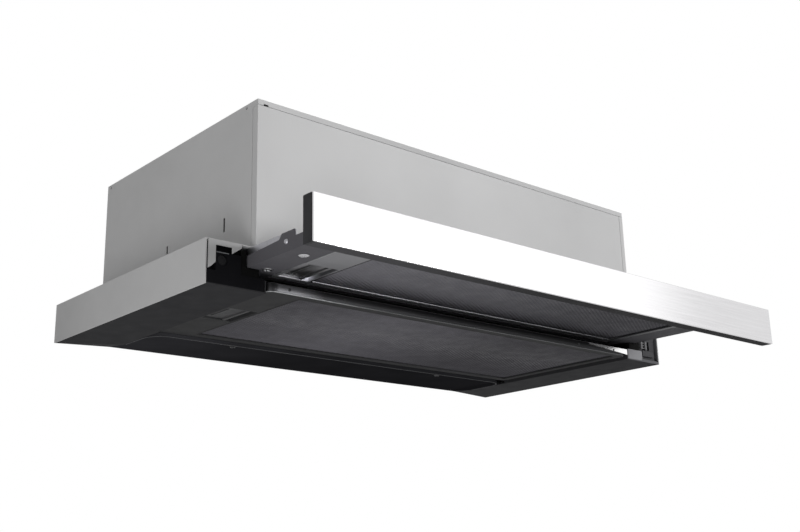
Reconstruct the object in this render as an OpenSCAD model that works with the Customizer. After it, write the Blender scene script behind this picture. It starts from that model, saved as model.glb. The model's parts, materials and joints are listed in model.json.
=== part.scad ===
// Pull-out range hood that hangs under a wall cabinet, with its visor drawn out.
// The origin is the centre of the four cabinet screws, on the plane where the
// casing flanges meet the cabinet. X runs to the right, Y towards the wall, Z up.

/* [Casing] */
// Width of the casing and of the fascia
casing_w = 598; // [590:1:898]
// Depth of the casing from its front plane to the wall
casing_d = 278; // [274:1:300]
// Height of the casing below the cabinet
casing_h = 38; // [37:0.5:46]
// Thickness of the sheet steel
sheet_t = 1; // [0.8:0.1:1.2]
// Distance of the cabinet screws from the casing's sides
screw_inset = 24; // [20:0.5:30]
// Spacing of the cabinet screws from front to back
screw_y = 200; // [160:1:220]
// Diameter of the cabinet screw holes
screw_hole_d = 4.5; // [4:0.1:6]
// Width of the margins beside the opening for the grease filters
margin_w = 58; // [57:0.5:64]
// Depth of the raised panel behind the rear filter
cover_d = 88; // [80:1:96]
// Height by which the rear panel is raised above the margins
cover_rise = 3; // [2:0.5:4]
// Corner radius of the rear panel
cover_r = 20; // [8:1:24]
// Width of the rear panel's rim
cover_rim = 5; // [2:0.5:6]
// Depth of the rear corners in which the margins rise to the rear panel
ramp_d = 30; // [20:1:40]

/* [Upper body] */
// Width of the flanges beside the upper body
flange_w = 47.5; // [40:0.5:49]
// Height of the upper body above the flanges
body_h = 134.5; // [134:0.5:180]
// Length of the front plate's return round the left corner
front_return = 7.5; // [5:0.5:12]
// Width of the right side plate's return on the front
side_return = 5.5; // [4:0.5:8]
// Height of the top plate's lip down the front
top_lip = 5; // [4:0.5:8]
// Seam between two plates
seam = 0.3; // [0.2:0.05:0.5]

/* [Visor] */
// Distance that the visor slides out
travel = 130; // [110:1:134]
// Depth of the visor's part that stays inside when it is out
visor_tail = 24; // [16:1:30]
// Distance of the visor's webs from the casing's sides
visor_inset = 41; // [40:0.5:45]
// Height of the visor's side webs in front of the slides
visor_web_h = 11; // [10:0.5:12]
// Length of the ear that carries each slide
web_ear = 17; // [14:1:24]
// Depth of the visor plate's underside below the flanges
visor_z = 18; // [17:0.5:18]
// Gap between the top of the fascia and the cabinet
fascia_top_gap = 2; // [1:0.5:4]
// Drop of the fascia below the casing
fascia_drop = 1; // [0:0.5:2]
// Thickness of the fascia's steel sheet
fascia_t = 1.5; // [1:0.1:2]
// Depth of the channel behind the fascia sheet
carrier_d = 11; // [10:0.5:14]
// Gap between the closed fascia and the casing
fascia_gap = 0.4; // [0.3:0.1:1]

/* [Slides] */
// Height of the outer slide profile
rail_h = 12; // [11:0.5:12.5]
// Distance from the bracket's flange to the top of the outer slide
rail_drop = 0.3; // [0.2:0.1:0.5]
// Running gap between the two profiles of a slide
rail_gap = 0.5; // [0.4:0.1:0.6]
// Distance from the end of the closed inner slide to the wall
rail_end_room = 53; // [50:1:60]
// Distance from the end of the inner slide to the fascia channel
rail_setback = 67; // [60:1:72]

/* [Grease filters] */
// Thickness of both filters
filter_t = 8; // [7:0.5:8]
// Gap between the rear filter and the sides of its opening
filter_side_gap = 3; // [2.5:0.5:5]
// Gap between the rear filter and the rear panel
filter_end_gap = 2.5; // [1:0.5:6]
// Width of the visor plate beside the front filter
visor_side = 30; // [26:1:40]
// Width of the visor plate in front of the front filter
visor_front_bar = 14.4; // [12:0.4:30]
// Width of a filter frame's bars
filter_bar = 9; // [7:0.5:12]
// Width of a filter frame's latch bar
latch_bar = 38; // [34:1:42]
// Corner radius of a filter frame
filter_r = 7; // [4:0.5:10]
// Travel of a filter latch
latch_travel = 6; // [4:0.5:6]

/* [Blower] */
// Outer radius of the impeller
impeller_r = 44; // [42:0.5:44]
// Width of the impeller
impeller_w = 84; // [70:1:90]
// Number of blades
blades = 30; // [20:1:36]
// Gap between the impeller and the start of the scroll
scroll_gap = 5; // [4:0.5:6]
// Wall of the scroll halves
scroll_t = 1.6; // [1.2:0.1:2]
// Gap between the scroll and the plane of the flanges
scroll_clear = 0.8; // [0.4:0.1:6]
// Height of the throat above the scroll
throat_h = 12; // [8:0.5:16]
// Distance of the blower outlet behind the middle of the hood
duct_y = 50; // [40:1:52]
// Radius of the motor
motor_r = 27; // [24:0.5:28]
// Length of the motor
motor_l = 52; // [44:1:60]
// Radius of the motor shaft
shaft_r = 4; // [3:0.5:5]

/* [Duct collar] */
// Outer radius of the duct collar
collar_r = 59.5; // [59:0.5:62]
// Wall of the duct collar
collar_t = 2; // [1.6:0.1:2.5]
// Height of the duct collar
collar_h = 35; // [30:1:60]
// Radius of the flap pin
pin_r = 1.5; // [1.2:0.1:2]
// Thickness of the flaps
flap_t = 1.5; // [1.2:0.1:2]

/* [Controls] */
// Side of the square surround of the power button
button_frame = 13; // [12:0.5:14]
// Radius of the power button
button_r = 4.3; // [4:0.1:5.5]
// Travel of the power button
button_travel = 2; // [1:0.5:3]
// Travel of the speed slider
knob_travel = 9; // [6:0.5:10]
// Travel of the visor switch's plunger
plunger_travel = 1.5; // [1:0.1:2]

/* [Hidden] */
$fn = 48;

eps = 0.01;
play = 0.3;
slide_play = 0.5;
half_w = casing_w/2;
front_y = -casing_d/2;
rear_y = casing_d/2;
bottom_z = -casing_h;
half_body = half_w - flange_w;
top_z = body_h;
screw_x = half_w - screw_inset;
inner_x = half_w - sheet_t;
cover_front_y = rear_y - sheet_t - cover_d;
opening_x = half_w - margin_w;
margin_top = bottom_z + sheet_t;
flange_inner = half_body - 10;
seat_z = -sheet_t;

// Sheet metal details
lip_h = 11;
screw_r = 1.6;
pilot_r = 1.75;
cover_screw_x = 142;
cover_screw_y = cover_front_y + 15;
// Distance behind the front plane, lower end and upper end of each upright slot
side_slots = [[50, 26, 39], [148.5, 30, 37.5]];
slot_w = 2.8;
// Places of the small holes near the top of the side plates, in from the front and the rear
rivet_hole_r = 1.3;
rivet_hole_in = [17.7, 7];
rivet_hole_drop = 3.2;
lip_notch = [6, 11];
lip_notch_top = 3.4;

// Control corners
button_x = half_w - 16.2;
button_z = -16.5;
button_inset = 1.5;
button_l = 9;
button_stem_r = 2;
corner_block_top = bottom_z + 12;
housing_depth = 22;
housing_recess = 4;
// Left front flange: a band, a leg beside the cut for the button and a short tongue
flange_band = 4.5;
flange_cut = [button_x - 8.8, button_x + 6.8];
flange_leg = -25;
flange_tongue = -9.8;

// Slides: the outer profile hangs on a bracket, the inner one rides on the visor
visor_x = half_w - visor_inset;
visor_bottom = -visor_z;
web_top = visor_bottom + visor_web_h;
web_tail_top = web_top - 2;
web_ridge_top = web_top + 1.4;
rail_top = -3*sheet_t - rail_drop;
rail_bottom = rail_top - rail_h;
inner_rail_top = rail_top - sheet_t - rail_gap;
inner_rail_bottom = rail_bottom + sheet_t + rail_gap;
inner_rail_w = 9;
rail_lip = 7;
rail_hole_in = 34;
rail_hole_pitch = 60;
rail_web_x = visor_x - sheet_t - inner_rail_w - 2*rail_gap;
bracket_x = rail_web_x - sheet_t;
flange_front_x = visor_x + 7;
// The slides run under the flange, or under its lowered strip where that lies above them
rail_roof = half_body + 2*sheet_t > visor_x - 2*sheet_t - play ? -2*sheet_t : -sheet_t;
slide_top = rail_roof - play;
rivet_y = 11;
rivet_z = (inner_rail_top + inner_rail_bottom)/2;
rivet_r = 2.3;

guide_base_top = visor_bottom - slide_play;
guide_cheek_top = -4;

// Speed slider beside the right slide, at the lower end of its travel
corner_x1 = half_w - 31;
selector_y = front_y + housing_recess;
selector_gap = 1.5;
knob_w = 10;
knob_h = 9;
knob_x = half_w - 24.7;
knob_bottom = -23;
knob_rib = 2.5;
knob_step = [half_w - 29.4, half_w - 9.6];
knob_step_z = [-31.4, -25.1];

// Fascia and visor at rest, drawn out
carrier_rear = front_y - travel - fascia_gap;
carrier_front = carrier_rear - carrier_d;
fascia_front = carrier_front - fascia_t;
fascia_bottom = bottom_z - fascia_drop;
fascia_top = -fascia_top_gap;
visor_rear = front_y + visor_tail;
cap_t = 3;
channel_t = 1.2;
inner_rail_front = carrier_rear + rail_setback;
inner_rail_closed = rear_y - rail_end_room;
inner_rail_rear = inner_rail_closed - travel;
rail_front = front_y + 4;
rail_rear = inner_rail_closed + 1;
visor_front = carrier_front + channel_t;
visor_screw_y = [front_y - 54, front_y - 3];
visor_screw_x = visor_x - 16;
visor_screw_head = 4.5;

// Switch that the closed visor's slide pushes
plunger_r = 1.3;
plunger_x = visor_x - 1.5*sheet_t;
switch_y = inner_rail_closed + play + plunger_travel;
switch_l = 19;
bracket_rear = switch_y + switch_l + 3.2;
bracket_w = 7;
plunger_z = (rail_top + rail_bottom)/2;

// Filters
rear_filter_bottom = bottom_z + 3;
rear_filter_front = front_y + 0.5;
rear_filter_rear = cover_front_y - filter_end_gap;
rear_filter_x = opening_x - filter_side_gap;
front_filter_bottom = visor_bottom;
front_filter_rear = visor_rear - 8;
front_filter_front = carrier_rear + visor_front_bar;
front_filter_x = visor_x - visor_side;
filter_skin = 1.2;
core_inset = 1.5;
core_lap = filter_bar - core_inset;
rear_latch_in = 91;
rear_latch_y = rear_filter_front + rear_latch_in;
front_latch_y = front_filter_rear - 30;
latch_l = 42;
bolt_w = 11.2;
latch_inset = 5;
latch_w = latch_bar - latch_inset - latch_travel - 3.5;
hook_w = 12;
hook_l = filter_side_gap + 4;
hook_t = 1.2;
hook_y = [rear_filter_front + 30, rear_filter_rear - 30];
hook_z = rear_filter_bottom + filter_t/2;
guide_rear = hook_y[0] - hook_w/2 - 2;

// Blower: the scroll's radius grows evenly with the angle from its tongue
tongue_deg = -20;
outlet_deg = 270;
scroll_steps = 44;
scroll_r0 = impeller_r + scroll_gap;
// Growth of the radius a degree with which the scroll just fits between flanges and throat
scroll_rise = (top_z - throat_h - scroll_clear - 2*scroll_t - 2*scroll_r0)/(180 - 2*tongue_deg);
scroll_r1 = scroll_r(outlet_deg);
tongue_y = -scroll_r0*sin(tongue_deg);
axis_y = duct_y - (tongue_y + scroll_r1)/2;
scroll_in = impeller_w/2 + 4;
scroll_out = scroll_in + scroll_t;
inlet_r = impeller_r - 7;
axis_z = scroll_clear + scroll_t + scroll_r(180);
blade_t = 0.9;
blade_depth = 8;
blade_curve = 7;
blade_in = impeller_r - blade_depth + 0.2;
ring_w = 3;
under_top = top_z - sheet_t;
lip_z = top_z - top_lip - seam;
scroll_flange = 9;
hub_r = shaft_r + 5;
hub_half = 14;
motor_front_x = -hub_half - 4;
motor_rear_x = motor_front_x - motor_l;
arm_feet_r = inlet_r + 8;
arm_deg = [60, 180, 300];
arm_t = 1.5;
scroll_flange_t = 2.4;
scroll_screw_points = [for (sx = [-1, 1], y = [axis_y + tongue_y - scroll_t - scroll_flange/2,
    axis_y + scroll_r1 + scroll_t + scroll_flange/2]) [sx*30, y]];

// Electrical parts under the top plate
cap_side = 121.5;
cap_x = half_body - cap_side;
cap_r = 14;
cap_l = 56;
cap_y = 30;
clip_w = 14;
clip_y = cap_y + 20;
clip_x = cap_r + 12;
clip_t = 1.2;
cap_z = under_top - cap_r - clip_t;
gland_side = 61.5;
gland_end = 59;
gland_x = -half_body + gland_side;
gland_y = rear_y - gland_end;
gland_r = 8;
gland_nut_r = 11.5;
gland_nut_h = 5;
cable_r = 4;
box_x0 = gland_x - 45;
box_x1 = gland_x + 35;
box_y0 = gland_y - 25;
box_y1 = gland_y + 25;
box_h = 34;
box_wall = 2;

// Duct collar and its flaps
collar_in = collar_r - collar_t;
collar_base_r = collar_r + 12;
collar_base_t = 2;
collar_screw_r = collar_r + 7;
// The collar's screws stand beside the scroll's flange
collar_screw_deg = [for (middle = [0, 180], s = [-1, 1])
    middle + s*acos((scroll_out + scroll_flange + 3.5)/collar_screw_r)];
hole_r = collar_in;
ledge_w = 2.5;
ledge_top = top_z + 6;
pin_z = ledge_top + 2.2;
flap_r = collar_in - 1;
flap_bottom = ledge_top + play;
barrel_r = pin_r + 1.7;
pin_play = 0.05;
boss_w = 5;
barrel_end = collar_in - boss_w - 2.5;

module block(x0, x1, y0, y1, z0, z1) {
    translate([min(x0, x1), min(y0, y1), min(z0, z1)])
        cube([abs(x1 - x0), abs(y1 - y0), abs(z1 - z0)]);
}

// Draws its children for the right side, or mirrored for the left
module on_side(s) {
    mirror([s < 0 ? 1 : 0, 0, 0]) children();
}

module rounded_plate(x, y0, y1, z0, z1, r, rear_r) {
    translate([0, 0, z0]) linear_extrude(z1 - z0) union() {
        for (s = [-1, 1]) {
            translate([s*(x - r), y0 + r]) circle(r);
            if (rear_r > 0)
                translate([s*(x - rear_r), y1 - rear_r]) circle(rear_r);
        }
        translate([-x + r, y0]) square([2*x - 2*r, y1 - y0]);
        translate([-x, y0 + r]) square([2*x, y1 - y0 - r - rear_r]);
    }
}

module screw(head_r, head_h, shank_r, shank_l) {
    difference() {
        cylinder(r = head_r, h = head_h);
        for (a = [0, 90])
            rotate([0, 0, a]) translate([-head_r*0.6, -0.4, head_h/2]) cube([head_r*1.2, 0.8, head_h]);
    }
    translate([0, 0, -shank_l]) cylinder(r = shank_r, h = shank_l + eps);
}

// Casing: the front flange is an outline in X and Z, on the front plane
module front_flange() {
    translate([0, front_y + sheet_t, 0]) rotate([90, 0, 0]) linear_extrude(sheet_t) children();
}

module side_panel(s) {
    color("lightgray") difference() {
        on_side(s) union() {
            block(inner_x, half_w, front_y, rear_y, bottom_z, 0);
            block(half_body + seam, half_w, front_y, rear_y, -sheet_t, 0);
            block(flange_inner, half_body + seam + sheet_t, front_y, rear_y - sheet_t,
                seat_z - sheet_t, seat_z);
            if (s < 0)
                front_flange() polygon([[inner_x - seam, 0], [flange_front_x, 0],
                    [flange_front_x, 1 - flange_band], [flange_cut[0], flange_tongue],
                    [flange_cut[0], -flange_band], [flange_cut[1], -flange_band],
                    [flange_cut[1], flange_leg + 6], [flange_cut[1] + 4, flange_leg + 2],
                    [inner_x - seam, flange_leg]]);
            else
                front_flange() polygon([[inner_x - seam, 0], [flange_front_x, 0],
                    [flange_front_x, -flange_band], [inner_x - seam, -flange_band]]);
        }
        for (sy = [-1, 1])
            translate([s*screw_x, sy*screw_y/2, -2*sheet_t]) cylinder(d = screw_hole_d, h = 3*sheet_t);
    }
}
module side_panel_left() { side_panel(-1); }
module side_panel_right() { side_panel(1); }

module rear_wall() {
    color("lightgray") union() {
        translate([0, rear_y, 0]) rotate([90, 0, 0]) linear_extrude(sheet_t)
            polygon([[-inner_x, seat_z], [-inner_x, bottom_z], [-opening_x, bottom_z + cover_rise],
                [opening_x, bottom_z + cover_rise], [inner_x, bottom_z], [inner_x, seat_z]]);
        block(-flange_inner, flange_inner, rear_y - 16, rear_y, seat_z - sheet_t, seat_z);
    }
}

module front_crossbar() {
    color("lightgray") block(-flange_inner, flange_inner, front_y, front_y + 22, seat_z - sheet_t, seat_z);
}

// Triangle of the right margin that rises from its crease to the rear panel's height
module margin_ramp() {
    w = inner_x - opening_x;
    crease = norm([w, ramp_d]);
    reach = w*ramp_d/crease;
    intersection() {
        translate([inner_x, rear_y - sheet_t, bottom_z]) rotate([0, 0, 180 + atan2(ramp_d, w)])
            rotate([-atan2(cover_rise, reach), 0, 0]) linear_extrude(sheet_t)
                polygon([[0, 0], [crease, 0], [w*w/crease, -norm([reach, cover_rise])]]);
        block(opening_x, inner_x, rear_y - sheet_t - ramp_d - 1, rear_y - sheet_t, bottom_z, seat_z);
    }
}

module liner(s) {
    color("dimgray") difference() {
        on_side(s) union() {
            translate([0, 0, bottom_z]) linear_extrude(sheet_t)
                polygon([[opening_x, front_y], [inner_x, front_y], [inner_x, rear_y - sheet_t],
                    [opening_x, rear_y - sheet_t - ramp_d]]);
            margin_ramp();
            block(opening_x, opening_x + sheet_t, front_y, cover_front_y - play, bottom_z, bottom_z + lip_h);
            if (s > 0)
                block(corner_x1, inner_x, front_y, front_y + sheet_t, bottom_z, bottom_z + 3);
        }
        if (s > 0)
            for (y = hook_y)
                block(opening_x - 1, opening_x + 2*sheet_t, y - hook_w/2 - 1, y + hook_w/2 + 1,
                    hook_z - hook_t/2 - play, bottom_z + lip_h + 1);
        else
            block(-opening_x - 2*sheet_t, -opening_x + 1, rear_latch_y - bolt_w/2 - 2.4,
                rear_latch_y + bolt_w/2 + 2.4, hook_z - 2.5, hook_z + 2.5);
    }
}
module liner_left() { liner(-1); }
module liner_right() { liner(1); }

module rear_cover() {
    plate_z = bottom_z + cover_rise;
    color("#2f2f33") difference() {
        union() {
            difference() {
                rounded_plate(opening_x - play, cover_front_y, rear_y - sheet_t, bottom_z,
                    plate_z + 1.2, cover_r, 0);
                rounded_plate(opening_x - play - cover_rim, cover_front_y + cover_rim, rear_y,
                    bottom_z - 1, plate_z, cover_r - cover_rim, 0);
            }
            block(-opening_x + cover_r, opening_x - cover_r, cover_front_y, cover_front_y + 1.2,
                plate_z, bottom_z + lip_h);
        }
        for (s = [-1, 1])
            translate([s*cover_screw_x, cover_screw_y, plate_z - 1]) cylinder(r = pilot_r, h = 4);
        along_x(-opening_x, opening_x) polygon([[rear_y - sheet_t - ramp_d, bottom_z],
            [rear_y - sheet_t, plate_z], [rear_y, plate_z], [rear_y, bottom_z - 1],
            [rear_y - sheet_t - ramp_d, bottom_z - 1]]);
    }
}

module cover_screws() {
    color("silver") for (s = [-1, 1])
        translate([s*cover_screw_x, cover_screw_y, bottom_z + cover_rise]) rotate([180, 0, 0])
            screw(3, 1.6, screw_r, 8);
}

// Upper body
module body_front_plate() {
    color("gainsboro") union() {
        block(-half_body, half_body - side_return - seam, front_y, front_y + sheet_t, seat_z, lip_z);
        block(-half_body, -half_body + sheet_t, front_y, front_y + front_return, seat_z, lip_z);
    }
}

module body_side(s) {
    start = s < 0 ? front_y + front_return + seam : front_y;
    color("silver") difference() {
        on_side(s) union() {
            block(half_body - sheet_t, half_body, start, rear_y, seat_z, lip_z);
            block(half_body - sheet_t, half_body, front_y + sheet_t, rear_y, lip_z, under_top);
            if (s > 0)
                block(half_body - side_return, half_body, front_y, front_y + sheet_t, seat_z, lip_z);
        }
        for (slot = side_slots)
            block(s*(half_body - 2*sheet_t), s*(half_body + 1), front_y + slot[0] - slot_w/2,
                front_y + slot[0] + slot_w/2, slot[1], slot[2]);
        for (y = [front_y + rivet_hole_in[0], rear_y - rivet_hole_in[1]])
            translate([s*(half_body - 2*sheet_t), y, top_z - rivet_hole_drop]) rotate([0, s*90, 0])
                cylinder(r = rivet_hole_r, h = 4);
    }
}
module body_side_left() { body_side(-1); }
module body_side_right() { body_side(1); }

module body_rear_plate() {
    color("silver") block(-half_body + sheet_t, half_body - sheet_t, rear_y - sheet_t, rear_y,
        seat_z, under_top);
}

module body_top_plate() {
    color("silver") difference() {
        union() {
            block(-half_body, half_body, front_y, rear_y, under_top, top_z);
            block(-half_body, half_body, front_y, front_y + sheet_t, top_z - top_lip, top_z);
        }
        translate([0, duct_y, under_top - 1]) cylinder(r = hole_r, h = 4, $fn = 96);
        for (a = collar_screw_deg)
            translate([collar_screw_r*cos(a), duct_y + collar_screw_r*sin(a), under_top - 1])
                cylinder(r = pilot_r, h = 4);
        translate([gland_x, gland_y, under_top - 1]) cylinder(r = gland_r + 0.2, h = 4);
        block(-half_body + lip_notch[0], -half_body + lip_notch[1], front_y - 1, front_y + 2*sheet_t,
            top_z - top_lip - 1, top_z - lip_notch_top);
    }
}

// Duct collar with its two flaps
module duct_collar() {
    color("#303030") translate([0, duct_y, 0]) difference() {
        union() {
            translate([0, 0, top_z]) cylinder(r = collar_base_r, h = collar_base_t, $fn = 96);
            translate([0, 0, top_z]) cylinder(r = collar_r, h = collar_h, $fn = 96);
        }
        difference() {
            translate([0, 0, top_z - 1]) cylinder(r = collar_in, h = collar_h + 2, $fn = 96);
            translate([0, 0, top_z]) difference() {
                cylinder(r = collar_in + 0.5, h = ledge_top - top_z, $fn = 96);
                translate([0, 0, -1]) cylinder(r = collar_in - ledge_w, h = 20, $fn = 96);
            }
            for (s = [-1, 1])
                intersection() {
                    block(s*(collar_in - boss_w), s*(collar_in + 0.5), -3.4, 3.4, top_z, pin_z + 3.4);
                    cylinder(r = collar_in + 0.5, h = 2*top_z, $fn = 96);
                }
        }
        translate([-collar_in + 1, 0, pin_z]) rotate([0, 90, 0]) cylinder(r = pin_r, h = 2*collar_in - 2);
        for (a = collar_screw_deg)
            translate([collar_screw_r*cos(a), collar_screw_r*sin(a), top_z - 1])
                cylinder(r = pilot_r, h = 4);
    }
}

module collar_screws() {
    color("silver") for (a = collar_screw_deg)
        translate([collar_screw_r*cos(a), duct_y + collar_screw_r*sin(a), top_z + collar_base_t])
            screw(3, 1.8, screw_r, 7);
}

module flap_pin() {
    color("silver") translate([-collar_in + 1, duct_y, pin_z]) rotate([0, 90, 0])
        cylinder(r = pin_r, h = 2*collar_in - 2);
}

// Half disc that hangs on the pin by its barrels; s is -1 in front of the pin and 1 behind it
module flap(s, barrels) {
    clear = barrel_r + 0.4;
    color("#3a3a3a") translate([0, duct_y, 0]) difference() {
        union() {
            intersection() {
                translate([0, 0, flap_bottom]) cylinder(r = flap_r, h = flap_t, $fn = 96);
                union() {
                    block(-flap_r, flap_r, s*clear, s*flap_r, flap_bottom, flap_bottom + flap_t);
                    for (b = barrels)
                        block(b[0], b[1], 0, s*flap_r/2, flap_bottom, flap_bottom + flap_t);
                }
            }
            for (b = barrels)
                translate([b[0], 0, pin_z]) rotate([0, 90, 0]) cylinder(r = barrel_r, h = b[1] - b[0]);
        }
        translate([-flap_r, 0, pin_z]) rotate([0, 90, 0]) cylinder(r = pin_r + pin_play, h = 2*flap_r);
        for (e = [-1, 1])
            block(e*(collar_in - boss_w - 1), e*collar_r, -7, 7, top_z, pin_z + 10);
    }
}
module flap_front() {
    flap(-1, [for (s = [-1, 1]) [s*(barrel_end - 24) - 8, s*(barrel_end - 24) + 8]]);
}
module flap_rear() {
    flap(1, concat([[-barrel_end + 42, barrel_end - 42]],
        [for (s = [-1, 1]) [s*(barrel_end - 7) - 7, s*(barrel_end - 7) + 7]]));
}

// Blower
function scroll_r(a) = scroll_r0 + scroll_rise*(a - tongue_deg);
function scroll_point(a, extra) = [
    axis_y - (scroll_r(a) + extra)*sin(a),
    axis_z + (scroll_r(a) + extra)*cos(a)];
function scroll_start(extra) = -asin((tongue_y - extra)/(scroll_r0 + extra));
function scroll_outline(extra) = concat(
    [for (i = [0:scroll_steps])
        scroll_point(scroll_start(extra) + i*(outlet_deg - scroll_start(extra))/scroll_steps, extra)],
    [[axis_y + scroll_r1 + extra, under_top - eps + (extra > 0 ? eps : 2)],
     [axis_y + tongue_y - extra, under_top - eps + (extra > 0 ? eps : 2)]]);

// Carries a (y, z) outline along X from x0 to x1
module along_x(x0, x1) {
    translate([x0, 0, 0]) rotate([90, 0, 90]) linear_extrude(x1 - x0) children();
}

module scroll_half(s) {
    color(s < 0 ? "#55585c" : "#5c5f63") difference() {
        on_side(s) difference() {
            union() {
                along_x(0, scroll_out) polygon(scroll_outline(scroll_t));
                block(0, scroll_out + scroll_flange, axis_y + tongue_y - scroll_t - scroll_flange,
                    axis_y + scroll_r1 + scroll_t + scroll_flange, under_top - scroll_flange_t, under_top);
                translate([scroll_out - eps, axis_y, axis_z]) rotate([0, 90, 0])
                    cylinder(r = inlet_r + 3.5, h = 4, $fn = 72);
            }
            along_x(-1, scroll_in) polygon(scroll_outline(0));
            translate([scroll_in - 1, axis_y, axis_z]) rotate([0, 90, 0])
                cylinder(r = inlet_r, h = 20, $fn = 72);
        }
        for (p = scroll_screw_points)
            if (p[0]*s > 0)
                translate([p[0], p[1], under_top - 4]) cylinder(r = pilot_r, h = 5);
        if (s < 0)
            for (a = arm_deg)
                translate([-scroll_out - 1, axis_y + arm_feet_r*cos(a), axis_z + arm_feet_r*sin(a)])
                    rotate([0, 90, 0]) cylinder(r = 1.5, h = 4);
    }
}
module scroll_left() { scroll_half(-1); }
module scroll_right() { scroll_half(1); }

module scroll_screws() {
    color("silver") for (p = scroll_screw_points)
        translate([p[0], p[1], under_top - scroll_flange_t]) rotate([180, 0, 0])
            screw(3, 1.8, screw_r, scroll_flange_t);
}

// Squirrel cage: a disc on the hub, a ring at each end and the blades between the rings
module on_axle() {
    translate([0, axis_y, axis_z]) rotate([0, 90, 0]) children();
}

module impeller() {
    color("gray") on_axle() difference() {
        union() {
            translate([0, 0, -1]) cylinder(r = blade_in - play, h = 2, $fn = 72);
            translate([0, 0, -hub_half]) cylinder(r = hub_r, h = 2*hub_half);
        }
        translate([0, 0, -impeller_w]) cylinder(r = shaft_r, h = 2*impeller_w);
    }
}

module impeller_rings() {
    color("gray") on_axle() for (z = [-impeller_w/2, impeller_w/2 - ring_w])
        translate([0, 0, z]) difference() {
            cylinder(r = impeller_r, h = ring_w, $fn = 72);
            translate([0, 0, -1]) cylinder(r = impeller_r - blade_depth + 1, h = ring_w + 2, $fn = 72);
        }
}

module impeller_blades() {
    blade_l = impeller_w - 2*ring_w;
    color("darkgray") on_axle() for (i = [0:blades - 1])
        rotate([0, 0, i*360/blades]) translate([blade_in + blade_depth/2 - 0.6, 0, -blade_l/2])
            linear_extrude(blade_l) intersection() {
                translate([0, -blade_curve]) difference() {
                    circle(blade_curve);
                    circle(blade_curve - blade_t);
                }
                translate([-blade_depth/2 + 0.6, -4]) square([blade_depth - 1, 6]);
            }
}

module motor_shaft() {
    color("silver") translate([motor_rear_x + 8, axis_y, axis_z]) rotate([0, 90, 0])
        cylinder(r = shaft_r, h = hub_half + 2 - motor_rear_x - 8);
}

module motor_body() {
    vents = 12;
    color("#8a8d90") translate([motor_rear_x, axis_y, axis_z]) rotate([0, 90, 0]) difference() {
        union() {
            cylinder(r = motor_r - 2, h = motor_l);
            translate([0, 0, 8]) cylinder(r = motor_r, h = motor_l - 18);
            translate([0, 0, motor_l]) cylinder(r = shaft_r + 3, h = 2);
        }
        translate([0, 0, 6]) cylinder(r = shaft_r + pin_play, h = motor_l);
        for (i = [0:vents - 1])
            rotate([0, 0, i*360/vents]) translate([motor_r - 9, -1.5, motor_l - 6]) cube([6, 3, 8]);
    }
}

module motor_bracket() {
    arm_r = arm_feet_r + 5;
    color("silver") translate([0, axis_y, axis_z]) difference() {
        union() {
            translate([motor_rear_x - arm_t, 0, 0]) rotate([0, 90, 0]) cylinder(r = motor_r - 4, h = arm_t);
            for (a = arm_deg)
                rotate([a, 0, 0]) {
                    block(motor_rear_x - arm_t, motor_rear_x, 0, arm_r, -6, 6);
                    block(motor_rear_x, -scroll_out, arm_r - arm_t, arm_r, -6, 6);
                    block(-scroll_out - arm_t, -scroll_out, arm_feet_r - 4, arm_r, -6, 6);
                }
        }
        for (a = arm_deg)
            rotate([a, 0, 0]) translate([-scroll_out - 2*arm_t, arm_feet_r, 0]) rotate([0, 90, 0])
                cylinder(r = 1.5, h = 4);
    }
}

module capacitor() {
    color("whitesmoke") translate([cap_x, cap_y, cap_z]) rotate([-90, 0, 0]) {
        cylinder(r = cap_r, h = cap_l);
        translate([0, 0, cap_l]) cylinder(r = cap_r - 3, h = 2);
        for (x = [-5, 5])
            translate([x - 0.4, -3, cap_l + 2]) cube([0.8, 6, 7]);
    }
}

module capacitor_clip() {
    color("silver") difference() {
        union() {
            translate([cap_x, clip_y, cap_z]) rotate([-90, 0, 0]) cylinder(r = cap_r + clip_t, h = clip_w);
            block(cap_x - clip_x, cap_x + clip_x, clip_y, clip_y + clip_w, under_top - clip_t, under_top);
        }
        translate([cap_x, cap_y, cap_z]) rotate([-90, 0, 0]) cylinder(r = cap_r, h = cap_l);
    }
}

module terminal_box() {
    color("#2b2b2b") difference() {
        block(box_x0, box_x1, box_y0, box_y1, under_top - box_h, under_top);
        block(box_x0 + box_wall, box_x1 - box_wall, box_y0 + box_wall, box_y1 - box_wall,
            under_top - box_h - 1, under_top - box_wall);
        translate([gland_x, gland_y, under_top - box_wall - 1])
            cylinder(r = gland_r + 0.2, h = box_wall + 2);
    }
}

module terminal_lid() {
    color("#333333") union() {
        block(box_x0, box_x1, box_y0, box_y1, under_top - box_h - 2, under_top - box_h);
        block(box_x0 + box_wall + 0.2, box_x1 - box_wall - 0.2, box_y0 + box_wall + 0.2,
            box_y1 - box_wall - 0.2, under_top - box_h, under_top - box_h + 3);
    }
}

module terminal_block() {
    poles = 4;
    pitch = 9;
    x0 = box_x0 + box_wall + 1;
    top = under_top - box_wall;
    color("ivory") difference() {
        block(x0, x0 + poles*pitch + 2, box_y0 + box_wall, box_y0 + box_wall + 12, top - 13, top);
        for (i = [0:poles - 1])
            translate([x0 + 1 + pitch/2 + i*pitch, box_y0 + box_wall + 6, top - 14])
                cylinder(r = 2.4, h = 6);
    }
}

module cable_gland() {
    nut_z = under_top - box_wall - gland_nut_h;
    color("#262626") translate([gland_x, gland_y, 0]) difference() {
        union() {
            translate([0, 0, nut_z]) cylinder(r = gland_r, h = top_z - nut_z);
            for (z = [nut_z, top_z])
                translate([0, 0, z]) cylinder(r = gland_nut_r, h = gland_nut_h, $fn = 6);
            translate([0, 0, top_z + gland_nut_h]) cylinder(r = gland_r + 1.5, h = 8);
        }
        translate([0, 0, nut_z - 1]) cylinder(r = cable_r, h = top_z - nut_z + gland_nut_h + 10);
    }
}

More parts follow.
